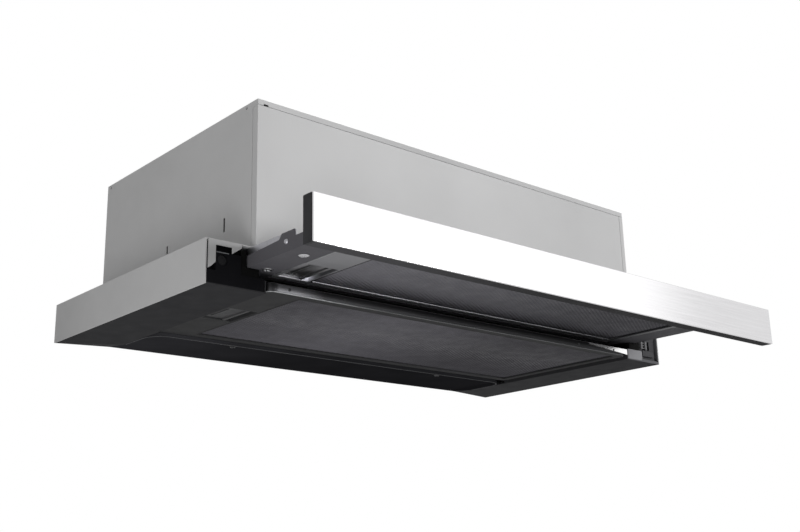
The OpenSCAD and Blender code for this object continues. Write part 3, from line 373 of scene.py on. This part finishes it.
ownFinish = {
    # nodes with their own copy of a slot's finish: dark inner mouldings, and lighter or darker liners,
    # visor, filters and rear latch that stand in partly for how the light falls there (painted light and
    # shade)
    "body_front_plate": powderCoat("frontGrey", *greyPaint),
    "side_panel_left": powderCoat("panelGrey", *greyPaint),
    "body_side_left": powderCoat("boxSideGrey", *greyPaint),
    "liner_left": powderCoat("linerPaint", (0.030, 0.030, 0.032), 0.7, 0.02),
    "liner_right": powderCoat("linerPaintRight", (0.032, 0.032, 0.034), 0.7, 0.02),
    "visor_frame": powderCoat("visorPaint", (0.092, 0.090, 0.099), 0.62, 0.08),
    "fascia_channel": powderCoat("channelPaint", (0.072, 0.071, 0.075), 0.62, 0.02),
    "rear_cover": mouldedPlastic("coverPlastic", (0.018, 0.018, 0.020), 0.75, 0.0),
    "rear_filter_frame": powderCoat("rearFrameDark", (0.040, 0.040, 0.041), 0.65, 0.02),
    "rear_latch": powderCoat("rearLatchDark", (0.075, 0.075, 0.077), 0.6, 0.03),
    "rear_filter_core": platedMetal("rearFilterMesh", (0.105, 0.102, 0.112), 0.6, 0.06),
    "front_filter_frame": brushedMetal("frontFrameAluminium", (0.21, 0.21, 0.22), 0.5),
    "front_filter_core": platedMetal("frontFilterMesh", (0.15, 0.147, 0.160), 0.6, 0.05),
    "front_latch": brushedMetal("frontLatchAluminium", (0.19, 0.19, 0.195), 0.4, "Y"),
    "rail_inner_left": slideZinc,
    "rail_inner_right": slideZinc,
    "rail_outer_left": slideZincOuter,
    "rail_outer_right": slideZincOuter,
    "corner_bracket": mouldedPlastic("bracketGrey", (0.20, 0.20, 0.21), 0.5, 0.25),
    "button_housing": mouldedPlastic("housingBlack", (0.005, 0.005, 0.006), 0.7, 0.03),
    "guide_left": guideBlack,
    "guide_right": guideBlack,
    "power_button": mouldedPlastic("buttonBlack", (0.006, 0.006, 0.007), 0.5, 0.15),
    "selector_housing": mouldedPlastic("selectorGrey", (0.042, 0.042, 0.045), 0.6, 0.12),
    "speed_knob": mouldedPlastic("sliderGrey", (0.115, 0.115, 0.12), 0.5, 0.2),
    "visor_screws": platedMetal("visorScrewZinc", (0.46, 0.46, 0.47), 0.34),
    "cover_screws": platedMetal("coverScrewBlackened", (0.05, 0.05, 0.05), 0.45),
}
paintedShadeRamps = [
    # node, axis, start, end (mm), gain: painted light and shade, darker and lighter stretches that stand in
    # for shadows, lit edges and the fall of light
    ("body_front_plate", "X", -240, -90, 1.18),
    ("body_front_plate", "X", 0, 170, 0.85),
    ("side_panel_left", "Y", -138.7, -138.95, 0.80),
    ("side_panel_left", "Y", -60, 139, 0.75),
    ("body_side_left", "Y", -60, 139, 0.92),
    ("visor_frame", "X", -160, 200, 0.55),
    ("fascia_channel", "X", -285, -60, 0.4),
    ("fascia_channel", "X", -60, 200, 0.9),
    ("rear_cover", "X", -60, -220, 2.0),
    ("rear_filter_frame", "X", -60, 180, 1.15),
    ("liner_right", "Y", -138.7, -138.95, 3.2),
    ("front_filter_core", "X", -200, 120, 0.38),
    ("front_filter_frame", "X", -150, 230, 0.33),
    ("front_filter_frame", "Y", -150, -132, 4.4),
    ("rear_filter_core", "X", -80, 100, 0.48),
    ("rear_filter_core", "X", -60, -200, 0.6),
]
for name, axis, start, end, gain in paintedShadeRamps:
    ownFinish[name].shade(axis, start, end, gain)
hemAluminium = brushedMetal("hemAluminium", (0.26, 0.265, 0.27), 0.4, streak=0.08)
# painted highlight: the bead is lighter than the bar and fades towards the middle, standing in for the light
# along the bar's lower edge
beadHighlightAluminium = brushedMetal("beadHighlightAluminium", (0.26, 0.265, 0.27), 0.4, streak=0.08)
beadHighlightAluminium.shade("X", -190, -120, 0.3)
# painted light and shade: the bar's strip is lighter than its frame, darkened at its rounded left corner and
# towards the right, in place of how light falls on the bar's face
barAluminium = brushedMetal("barAluminium", (0.15, 0.15, 0.158), 0.5)
barAluminium.shade("X", -227.5, -230, 0.3)
barAluminium.shade("X", -210, -180, 0.22)
barAluminium.shade("X", -170, -30, 0.55)
frontHem = brushedMetal("frontHemAluminium", (0.07, 0.07, 0.075), 0.5)
# painted shade: the hem darkens towards the right with the filter frame's painted shade
frontHem.shade("X", -150, 230, 0.4)
# lighter than the cover it lines: a painted highlight along the cover's rim
rimHighlightPaint = powderCoat("rimHighlightPaint", (0.07, 0.07, 0.073), 0.6, 0.1)
# a bright strip that stands in for a glint (painted highlight)
glintStripSteel = brushedMetal("glintStripSteel", (0.82, 0.82, 0.82), 0.2, streak=0.05)
# painted shade: a dark sheet over the inside of the right side wall
shadeSheetGrey = mouldedPlastic("shadeSheetGrey", (0.085, 0.085, 0.09), 0.6, 0.1)
slotOf = {part["node"]: part["material_slot"] for part in frame["record"]["subparts"]}
bodyOf = {node: body for body, members in frame["record"]["behaviour"]["bodies"].items() for node in members}


def dress(piece, slot, body, finish=None):
    # Gives a new piece its finish, by default its slot's, and the body that carries it.
    piece.data.materials.clear()
    piece.data.materials.append((finish or finishes[slot]).material)
    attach(piece, body)
    return piece


def dressLike(piece, node, finish=None):
    # Gives a new piece the body of a CAD node and, where no finish is given, the node's own finish, else its
    # slot's.
    return dress(piece, slotOf[node], bodyOf[node], finish or ownFinish.get(node))


for name, node in nodes.items():
    node.data.materials.clear()
    node.data.materials.append(ownFinish.get(name, finishes[slotOf[name]]).material)
print("finishes ready:", len(finishes), "for the slots and", len(ownFinish), "of single nodes")


# Mesh helpers

sameSpot = 1e-6  # corners of a CAD mesh that are closer than this, in metres, are one
closedSeam = 1e-7  # the same for the poles and seams of a new piece


def meshPiece(name, points, faces, smooth=True):
    # A piece from an array of points (metres) and an array of faces.
    mesh = bpy.data.meshes.new(name)
    mesh.from_pydata(np.asarray(points, float).reshape(-1, 3).tolist(), [], [tuple(f) for f in faces])
    mesh.validate()
    mesh.polygons.foreach_set("use_smooth", np.full(len(mesh.polygons), smooth))
    mesh.update()
    piece = bpy.data.objects.new(name, mesh)
    bpy.context.scene.collection.objects.link(piece)
    return piece


def gridFaces(rows, columns, start=0, closed=False):
    # Quads between the points of a grid kept row by row; closed joins the last column to the first.
    r = np.arange(rows - 1)[:, None]
    c = np.arange(columns if closed else columns - 1)[None, :]
    n = (c + 1) % columns
    a = start + r * columns + c
    b = start + r * columns + n
    return np.stack([a, b, b + columns, a + columns], axis=-1).reshape(-1, 4)


def turnedOut(piece, mergeWithin=0.0):
    # Corners closer than a distance are joined, and every face is turned to point outwards.
    work = bmesh.new()
    work.from_mesh(piece.data)
    if mergeWithin:
        bmesh.ops.remove_doubles(work, verts=work.verts, dist=mergeWithin)
    bmesh.ops.recalc_face_normals(work, faces=work.faces)
    work.to_mesh(piece.data)
    work.free()
    return piece


def cornersOf(node):
    # Lowest and highest corner of a node's box, in mm.
    return [np.array(c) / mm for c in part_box(node)]


# Broken edges

edgeValues = {
    "sheet": 0.30,  # rounding of folded sheet edges, mm
    "rolled": 0.65,
    "moulded": 0.50,
    "fine": 0.15,
    "segments": 2,
    "flatAngle": 0.5,  # triangles that meet within this angle, in degrees, become one face
    "edgeAngle": 35,  # edges past this angle are rounded
}
seamMove = {
    "node": "side_panel_left",
    "face": -297.7,  # X of the front flange's outer face, mm
    "shown": -296.5,  # its shown place, which opens the seam beside the side wall
    "lowest": -25.5,  # Z where the seam ends
    "within": 0.05,
}


def openSeam(mesh, values):
    # Corners on the face, above the lowest height, step to its shown place.
    places = np.empty(len(mesh.vertices) * 3)
    mesh.vertices.foreach_get("co", places)
    places = places.reshape(-1, 3)
    onFace = np.abs(places[:, 0] - values["face"] * mm) < values["within"] * mm
    chosen = onFace & (places[:, 2] > values["lowest"] * mm)
    places[chosen, 0] = values["shown"] * mm
    mesh.vertices.foreach_set("co", places.ravel())
    print("seam opened at", int(chosen.sum()), "corners")


def softened(node, width):
    # The CAD solid with its edges broken: its triangles are merged into whole faces, then bevelled.
    mesh = nodes[node].data.copy()
    if node == seamMove["node"]:
        openSeam(mesh, seamMove)
    mesh.name = node + "Edges"
    edgeAngle = math.radians(edgeValues["edgeAngle"])
    work = bmesh.new()
    work.from_mesh(mesh)
    bmesh.ops.remove_doubles(work, verts=work.verts, dist=sameSpot)
    bmesh.ops.dissolve_limit(work, angle_limit=math.radians(edgeValues["flatAngle"]), verts=work.verts,
                             edges=work.edges)
    work.to_mesh(mesh)
    work.free()
    mesh.polygons.foreach_set("use_smooth", np.full(len(mesh.polygons), True))
    mesh.set_sharp_from_angle(angle=edgeAngle)
    piece = bpy.data.objects.new(node + "Shown", mesh)
    bpy.context.scene.collection.objects.link(piece)
    bevel = piece.modifiers.new("edge", "BEVEL")
    bevel.width = width * mm
    bevel.segments = edgeValues["segments"]
    bevel.limit_method = "ANGLE"
    bevel.angle_limit = edgeAngle
    bevel.harden_normals = True
    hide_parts(node)
    return dressLike(piece, node)


softEdges = {
    "sheet": ["side_panel_left", "side_panel_right", "rear_wall", "front_crossbar", "liner_left",
              "liner_right", "body_front_plate", "body_side_left", "body_side_right", "body_rear_plate",
              "body_top_plate", "rail_bracket_left", "rail_bracket_right", "rail_outer_left",
              "rail_outer_right", "visor_frame", "rail_inner_left", "rail_inner_right",
              "fascia_channel", "rear_filter_frame", "front_filter_frame"],
    "rolled": ["fascia"],
    "moulded": ["rear_cover", "button_housing", "selector_housing", "corner_bracket", "guide_left",
                "guide_right", "fascia_cap_left", "fascia_cap_right", "duct_collar", "cable_gland",
                "terminal_box", "terminal_lid", "visor_switch"],
    "fine": ["power_button", "speed_knob", "rear_latch", "front_latch", "flap_front", "flap_rear"],
}
for kind, members in softEdges.items():
    for member in members:
        softened(member, edgeValues[kind])
print("edges broken on", sum(map(len, softEdges.values())), "nodes")


# Grease filter mesh

filterMesh = {
    "cellX": 7.0,  # long way of a diamond, mm
    "cellY": 4.0,
    "steps": 4,  # points across each cell
    "strand": 0.8,  # height of the strands over the openings, mm
    "strandSlope": 1.6,  # how steeply a strand rises from its openings
    "wave": 0.12,  # crinkle of the stacked layers, mm
    "waveLength": 11.0,
    "waveDrift": 1.7,  # how far the crinkle swings, radians
    "driftLength": 23.0,
    "flatRim": 2.0,  # the mesh flattens this close to its edges, mm
    "inset": 0.02,  # depth of the strands' tops under the core's faces, mm
}


def filterSheet(node, values):
    # Both faces of a stack of expanded mesh. Depth under a face is the strand's height times one minus the
    # ridge, plus a slow crinkle. The ridge is one minus the slope times the distance to the nearest
    # diagonal of the diamond grid.
    low, high = cornersOf(node)
    columns = int((high[0] - low[0]) / values["cellX"] * values["steps"]) + 1
    rows = int((high[1] - low[1]) / values["cellY"] * values["steps"]) + 1
    x, y = np.meshgrid(np.linspace(low[0], high[0], columns), np.linspace(low[1], high[1], rows))
    u, v = x / values["cellX"], y / values["cellY"]
    diagonal = [np.abs(((u + s * v) % 1.0) - 0.5) * 2 for s in (1, -1)]  # 0 on an opening, 1 on a strand
    ridge = np.clip(1 - values["strandSlope"] * (1 - np.maximum(*diagonal)), 0, 1)
    drift = values["waveDrift"] * np.sin(2 * np.pi * y / values["driftLength"])
    slow = np.sin(2 * np.pi * x / values["waveLength"] + drift)
    sink = values["strand"] * (1 - ridge) + values["wave"] * (1 + slow) / 2
    edge = np.minimum.reduce([x - low[0], high[0] - x, y - low[1], high[1] - y])
    sink = sink * np.clip(edge / values["flatRim"], 0, 1) + values["inset"]
    below = np.stack([x, y, low[2] + sink], -1).reshape(-1, 3)
    above = np.stack([x, y, high[2] - sink], -1).reshape(-1, 3)
    count = rows * columns
    faces = [gridFaces(rows, columns)[:, ::-1], gridFaces(rows, columns, count)]
    rim = np.concatenate([np.arange(columns), np.arange(1, rows) * columns + columns - 1,
                          count - 2 - np.arange(columns - 1), (rows - 2 - np.arange(rows - 2)) * columns])
    after = np.roll(rim, -1)
    faces.append(np.stack([rim, after, after + count, rim + count], -1))
    piece = meshPiece(node + "Mesh", np.concatenate([below, above]) * mm, np.concatenate(faces), False)
    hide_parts(node)
    return dressLike(piece, node)


for core in ("front_filter_core", "rear_filter_core"):
    sheet = filterSheet(core, filterMesh)
    print(core, "has", len(sheet.data.polygons), "faces")


# Domed screw heads

screwValues = {
    "spokes": 48,
    "rings": 12,
    "ringPower": 0.8,  # under 1 the rings crowd towards the rim
    "rimShare": 0.45,  # height of the head's straight rim, share of its height
    "crossWidth": 0.30,  # width of the recess arms, share of the head's radius
    "crossReach": 0.62,
    "crossDepth": 0.55,  # share of the head's height
    "shankRadius": 1.6,  # mm
    "shankSides": 16,
    "edgeAngle": 40,
}
screwKinds = [
    # node, head radius, head height (mm), head is on top
    ("visor_screws", 4.5, 1.2, False),
    ("cover_screws", 3.0, 1.6, False),
    ("collar_screws", 3.0, 1.8, True),
    ("scroll_screws", 3.0, 1.8, False),
]


def screwHead(radius, height, up, values):
    # A pan head with a cross recess: height over the seat is a quarter wave of the radius, less the recess
    # where a point lies within an arm of the cross.
    angle = np.linspace(0, 2 * np.pi, values["spokes"], endpoint=False)[None, :]
    share = (np.linspace(0, 1, values["rings"]) ** values["ringPower"])[:, None]
    x, y = share * np.cos(angle), share * np.sin(angle)
    wave = np.sqrt(np.clip(1 - share ** 2, 0, 1)) * np.ones_like(angle)
    dome = values["rimShare"] + (1 - values["rimShare"]) * wave
    arm = np.minimum(np.abs(x), np.abs(y)) < values["crossWidth"] / 2
    inside = np.hypot(x, y) < values["crossReach"]
    z = dome - values["crossDepth"] * (arm & inside)
    top = np.stack([x * radius, y * radius, z * height], -1)
    foot = np.stack([x[-1] * radius, y[-1] * radius, np.zeros(values["spokes"])], -1)[None]
    points = np.concatenate([top, foot]).reshape(-1, 3)
    return points if up else points * [1, -1, -1]


def screwShank(length, up, values):
    # Two rings of the shank's radius, the second one a length behind the head.
    behind = -1 if up else 1
    angle = np.linspace(0, 2 * np.pi, values["shankSides"], endpoint=False)
    radius = values["shankRadius"]
    ring = np.stack([radius * np.cos(angle), -behind * radius * np.sin(angle), 0 * angle], -1)
    return np.concatenate([ring, ring + [0, 0, behind * length]])


def screwGroup(node, seats, radius, height, up, length, values):
    # The group's heads, each on a shank that runs to the depth of the CAD screw.
    rings, spokes, sides = values["rings"] + 1, values["spokes"], values["shankSides"]
    head, shank = screwHead(radius, height, up, values), screwShank(length, up, values)
    points, faces, start = [], [], 0
    for seat in seats:
        rim = start + (rings - 1) * spokes + np.arange(spokes)
        faces += [tuple(f) for f in gridFaces(rings, spokes, start, closed=True)] + [tuple(rim[::-1])]
        start += len(head)
        faces += [tuple(f) for f in gridFaces(2, sides, start, closed=True)[:, ::-1]]
        faces += [tuple(start + np.arange(sides)), tuple(start + sides + np.arange(sides)[::-1])]
        start += len(shank)
        points += [head + seat, shank + seat]
    piece = turnedOut(meshPiece(node + "Heads", np.concatenate(points) * mm, faces), closedSeam)
    piece.data.set_sharp_from_angle(angle=math.radians(values["edgeAngle"]))
    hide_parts(node)
    return dressLike(piece, node)


def islands(node):
    # Lowest and highest corner, in mm, of each separate solid of a CAD node.
    work = bmesh.new()
    work.from_mesh(nodes[node].data)
    bmesh.ops.remove_doubles(work, verts=work.verts, dist=sameSpot)
    left, found = set(work.verts), []
    while left:
        stack, members = [left.pop()], []
        while stack:
            vert = stack.pop()
            members.append(vert.co[:])
            for edge in vert.link_edges:
                other = edge.other_vert(vert)
                if other in left:
                    left.remove(other)
                    stack.append(other)
        members = np.array(members) / mm
        found.append((members.min(0), members.max(0)))
    work.free()
    return sorted(found, key=lambda box: tuple(np.round(box[0], 2)))


for node, radius, height, up in screwKinds:
    seats = []
    for low, high in islands(node):
        middle = (low + high) / 2
        seats.append(np.array([middle[0], middle[1], high[2] - height if up else low[2] + height]))
        length = high[2] - low[2] - height
    screwGroup(node, seats, radius, height, up, length, screwValues)
print("screws ready")


# Folded hems, rims and rivets

sweepValues = {
    "mitreLimit": 0.3,  # a corner stretches the profile by at most 1 over this
    "edgeAngle": 50,
}


def roundedLoop(halfA, halfB, radius, steps=6):
    # Rounded rectangle round the origin: four quarter circles, each point once, anticlockwise.
    corners = np.array([(1, 1), (-1, 1), (-1, -1), (1, -1)])
    turn = np.linspace(0, np.pi / 2, steps)
    points = []
    for quarter, corner in enumerate(corners):
        angle = turn + quarter * np.pi / 2
        middle = corner * [halfA - radius, halfB - radius]
        points.append(middle + radius * np.stack([np.cos(angle), np.sin(angle)], -1))
    return np.concatenate(points)


def carried(name, path, profile, out, closed=True):
    # A closed profile carried along a flat path: each point is the path's point, plus the profile's first
    # value along the mitred side direction, plus its second along the plane's outward direction.
    path, profile, out = np.asarray(path, float), np.asarray(profile, float), np.asarray(out, float)
    before, after = np.roll(path, 1, 0), np.roll(path, -1, 0)
    if not closed:
        before[0], after[-1] = 2 * path[0] - path[1], 2 * path[-1] - path[-2]
    inward, onward = path - before, after - path
    inward /= np.linalg.norm(inward, axis=1, keepdims=True)
    onward /= np.linalg.norm(onward, axis=1, keepdims=True)
    tangent = inward + onward
    tangent /= np.linalg.norm(tangent, axis=1, keepdims=True)
    side = np.cross(tangent, out)
    side /= np.clip((inward * tangent).sum(1, keepdims=True), sweepValues["mitreLimit"], 1)
    points = path[:, None] + side[:, None] * profile[None, :, :1] + out * profile[None, :, 1:]
    rows, columns = points.shape[:2]
    if closed:
        points = np.concatenate([points, points[:1]])
        rows += 1
    faces = [tuple(f) for f in gridFaces(rows, columns, closed=True)]
    if not closed:
        faces += [tuple(range(columns)), tuple((rows - 1) * columns + np.arange(columns)[::-1])]
    piece = turnedOut(meshPiece(name, points * mm, faces), closedSeam)
    piece.data.set_sharp_from_angle(angle=math.radians(sweepValues["edgeAngle"]))
    return piece


def halfRound(width, height, sink=0.1, steps=7):
    # Half an ellipse over a foot that is sunk a little into what carries it.
    angle = np.linspace(0, np.pi, steps)
    arch = np.stack([width / 2 * np.cos(angle), height * np.sin(angle)], -1)
    return np.concatenate([arch, [(-width / 2, -sink), (width / 2, -sink)]])


hemValues = {
    "width": 1.3,  # fold of the filter frames round their mesh, mm
    "height": 0.45,
    "radius": 3.0,
    "lap": 0.2,  # how far the mesh is covered
    "channel": 7.5,  # depth of the core's edge in the frame's channel
    "latchSide": 1.0,  # the same at the latch's side
}


def filterHem(frameNode, coreNode, values, finish):
    # The fold that holds the mesh: a half round carried round the window on the frame's underside.
    low, high = cornersOf(coreNode)
    bottom = cornersOf(frameNode)[0][2]
    windowLow = low[:2] + [values["latchSide"], values["channel"]]
    windowHigh = high[:2] - values["channel"]
    middle = (windowLow + windowHigh) / 2
    half = (windowHigh - windowLow) / 2 + values["width"] / 2 - values["lap"]
    loop = roundedLoop(half[0], half[1], values["radius"])
    path = np.column_stack([loop + middle, np.full(len(loop), bottom)])
    piece = carried(frameNode + "Hem", path, halfRound(values["width"], values["height"]), (0, 0, -1))
    return dressLike(piece, frameNode, finish)


filterHem("rear_filter_frame", "rear_filter_core", hemValues, ownFinish["rear_filter_frame"])
filterHem("front_filter_frame", "front_filter_core", hemValues, frontHem)


frontBar = {
    "frame": "rear_filter_frame",
    "radius": 7.0,  # corner of the rear filter's frame in plan, mm
    "turnSteps": 9,
    "alongSteps": 90,
    "faceHigh": 3.4,  # half height of the strip on the bar's face
    "faceThick": 0.3,
    "faceBevel": 0.3,
    "faceShoulder": 0.4,  # share of the thickness where the bevel starts
    "foot": 0.2,  # how deep the strip and the rivets sink into the bar
    "bead": 0.5,  # radius of the bead along the bar's lower edge
    "beadSides": 10,
    "beadLift": 0.35,  # its middle over the lower edge
    "beadTail": 14.0,  # how far the bead runs back along each side
    "rivetRadius": 1.5,
    "rivetHeight": 0.7,
    "rivetSides": 20,
    "rivetRings": 6,
    "rivetTop": 0.02,  # turn of the first ring, radians
    "rivetsIn": [21.2, 80.0],  # from each end
    "clipStart": 65.0,  # the clip at the right end tapers over this length
    "clipPast": 9.5,  # and runs past the straight part of the bar
    "clipHigh": (2.0, 6.0),
    "clipCurve": 1.3,  # over 1 the height grows mostly near the end
    "clipThick": 0.35,
    "clipFoot": 0.05,
    "clipLean": 0.1,  # how far the face leans back at the top
    "clipDrop": 0.4,  # of its top edge under the bar's
    "clipSteps": 24,
}


def frontBarPath(values, height):
    # Along the bar's face in plan: back from one corner, round it, across, round the other and back.
    low, high = cornersOf(values["frame"])
    half, r = -low[0], values["radius"]
    turn = np.linspace(0, np.pi / 2, values["turnSteps"])
    left = np.stack([-half + r - r * np.cos(turn), low[1] + r - r * np.sin(turn)], -1)
    right = left[::-1] * [-1, 1]
    tail = low[1] + r + values["beadTail"]
    along = np.linspace(-half + r, half - r, values["alongSteps"])[1:-1]
    middle = np.stack([along, np.full(len(along), low[1])], -1)
    path = np.concatenate([[(-half, tail)], left, middle, right, [(half, tail)]])
    return np.column_stack([path, np.full(len(path), height)])


def frontBarTrim(values):
    # A thin strip over the bar's face, and a full round along its lower edge, both lighter than the frame to
    # stand in partly for the light on the bar (painted light).
    low, high = cornersOf(values["frame"])
    tall, thick, bevel, foot = (values[k] for k in ("faceHigh", "faceThick", "faceBevel", "foot"))
    shoulder = thick * values["faceShoulder"]
    # the path's side direction points into the bar, so what stands out of it is negative
    face = [(foot, -tall), (-shoulder, -tall), (-thick, bevel - tall),
            (-thick, tall - bevel), (-shoulder, tall), (foot, tall)]
    facePath = frontBarPath(values, (low[2] + high[2]) / 2)
    strip = carried("rearFilterBar", facePath, face, (0, 0, -1), closed=False)
    dress(strip, "filter_aluminium", "rear_filter", barAluminium)
    angle = np.linspace(0, 2 * np.pi, values["beadSides"], endpoint=False)
    ring = values["bead"] * np.stack([np.cos(angle), np.sin(angle)], -1)
    beadPath = frontBarPath(values, low[2] + values["beadLift"])
    bead = carried("rearFilterBead", beadPath, ring, (0, 0, -1), closed=False)
    dress(bead, "filter_aluminium", "rear_filter", beadHighlightAluminium)


def domedRivet(values):
    # Height over the face is a quarter wave of the radius; the head points to -Y and has a sunk foot.
    angle = np.linspace(0, 2 * np.pi, values["rivetSides"], endpoint=False)[None, :]
    share = np.sin(np.linspace(values["rivetTop"], np.pi / 2, values["rivetRings"]))[:, None]
    lift = np.sqrt(np.clip(1 - share ** 2, 0, 1)) * np.ones_like(angle)
    across = share * values["rivetRadius"]
    points = np.stack([across * np.cos(angle), -lift * values["rivetHeight"], across * np.sin(angle)], -1)
    return np.concatenate([points, points[-1:] + [0, values["foot"], 0]]).reshape(-1, 3)


def frontBarRivets(values):
    # Domed rivets on the strip, half way up the bar, each an inset away from its end.
    low, high = cornersOf(values["frame"])
    rows, sides = values["rivetRings"] + 1, values["rivetSides"]
    rivet = domedRivet(values)
    first, last = np.arange(sides), (rows - 1) * sides + np.arange(sides)
    points, faces, start = [], [], 0
    for x in [side * (-low[0] - inset) for side in (-1, 1) for inset in values["rivetsIn"]]:
        points.append(rivet + [x, low[1] - values["faceThick"], (low[2] + high[2]) / 2])
        faces += [tuple(f) for f in gridFaces(rows, sides, start, closed=True)]
        faces += [tuple(start + first[::-1]), tuple(start + last)]
        start += len(rivet)
    piece = turnedOut(meshPiece("rearFilterRivets", np.concatenate(points) * mm, faces))
    return dress(piece, "filter_aluminium", "rear_filter", ownFinish["rear_filter_frame"])


def frontBarClip(values):
    # A tapered bright steel strip on the bar's face at the hinge end, which stands in for the glint there
    # (painted highlight): its height runs from the first to the second value along its length, and its face
    # leans back a little towards the top.
    low, high = cornersOf(values["frame"])
    steps, (start, end) = values["clipSteps"], values["clipHigh"]
    share = np.linspace(0, 1, steps)
    x = -low[0] - values["radius"] + values["clipPast"] - values["clipStart"] * (1 - share)
    top = high[2] - values["clipDrop"]
    bottom = top - (start + (end - start) * share ** values["clipCurve"])
    face = low[1] - values["faceThick"] - values["clipThick"]
    back = low[1] - values["faceThick"] + values["clipFoot"]
    section = [(face, bottom), (face + values["clipLean"], top), (back, top), (back, bottom)]
    points = np.stack([np.stack([x, y + 0 * x, z + 0 * x], -1) for y, z in section], 1)
    faces = [tuple(f) for f in gridFaces(steps, 4, closed=True)]
    faces += [(0, 1, 2, 3), tuple((steps - 1) * 4 + np.arange(4)[::-1])]
    piece = turnedOut(meshPiece("rearFilterClip", points * mm, faces, False))
    return dress(piece, "bright_steel", "rear_filter", glintStripSteel)


rims = [
    # name, node that carries it, finish, width, height, outward direction, path (mm)
    # the button rim is grey on the black housing to stand in for a highlight along the frame's top edge
    # (painted highlight)
    ("buttonRimHighlight", "button_housing", finishes["grey_plastic"], 0.9, 0.35, (0, -1, 0),
     [(-289.0, -138.8, -10.4), (-283.0, -138.8, -10.4), (-277.3, -138.8, -10.4)]),
    ("frontFilterEdge", "front_filter_frame", hemAluminium, 0.9, 0.4, (0, 0, -1),
     [(-227.3, -249.0, -18.0), (-227.3, -215.0, -18.0), (-227.3, -176.0, -18.0)]),
]
coverRim = {
    "inset": 0.7,  # middle of the rim's bead from the cover's edge, mm
    "radius": 20.0,
    "turnSteps": 12,
    "width": 1.0,
    "height": 0.35,
    "sideEnd": 105.0,  # the bead stops where the cover starts to rise
}
shadeSheetValues = {
    # dark sheet between the selector and the right side wall, put where the wall's inside lies in shade
    # (painted shade), mm
    "wallX": 298.0,
    "thick": 0.5,
    "front": -138.2,
    "back": -112.0,
    "low": -37.2,
    "high": -2.2,
    "radius": 2.0,
}


def rimBead(name, node, finish, width, height, out, path):
    # A half round carried along an open path.
    piece = carried(name, path, halfRound(width, height), out, closed=False)
    return dressLike(piece, node, finish)


def coverPath(values):
    # In plan: along the left side, round the front corner, across the front and back along the right side.
    low, high = cornersOf("rear_cover")
    halfWide, front, r = -low[0] - values["inset"], low[1] + values["inset"], values["radius"]
    turn = np.linspace(0, np.pi / 2, values["turnSteps"])
    left = np.stack([-halfWide + r - r * np.cos(turn), front + r - r * np.sin(turn)], -1)
    path = np.concatenate([[(-halfWide, values["sideEnd"])], left, left[::-1] * [-1, 1],
                           [(halfWide, values["sideEnd"])]])
    return np.column_stack([path, np.full(len(path), low[2])])


def sidePlate(name, node, values, finish):
    # A rounded rectangle in the YZ plane at the wall, the same one a thickness nearer the middle, and the
    # edge between them.
    halfY, halfZ = (values["back"] - values["front"]) / 2, (values["high"] - values["low"]) / 2
    center = [(values["back"] + values["front"]) / 2, (values["high"] + values["low"]) / 2]
    loop = roundedLoop(halfY, halfZ, values["radius"])
    layers = [np.column_stack([np.full(len(loop), x), loop + center])
              for x in (values["wallX"], values["wallX"] - values["thick"])]
    count = len(loop)
    faces = [tuple(f) for f in gridFaces(2, count, closed=True)[:, ::-1]]
    faces += [tuple(range(count)), tuple(count + np.arange(count)[::-1])]
    piece = turnedOut(meshPiece(name, np.concatenate(layers) * mm, faces, False))
    return dressLike(piece, node, finish)


# painted shade: a dark sheet over the inside of the right side wall
sidePlate("selectorShadeSheet", "selector_housing", shadeSheetValues, shadeSheetGrey)
for rim in rims:
    rimBead(*rim)
# painted highlight: the rim bead is lighter than the cover, standing in for the light along the cover's
# front edge
rimBead("rearCoverRim", "rear_cover", rimHighlightPaint, coverRim["width"], coverRim["height"], (0, 0, -1),
        coverPath(coverRim))
frontBarTrim(frontBar)
frontBarRivets(frontBar)
frontBarClip(frontBar)
print("hems, cheek, rims, bar, rivets and clip ready")


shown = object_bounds()
growth = [round(v / mm, 2) for v in (*(cadBounds[0] - shown[0]), *(shown[1] - cadBounds[1]))]
print("shown box grows by", growth, "mm")
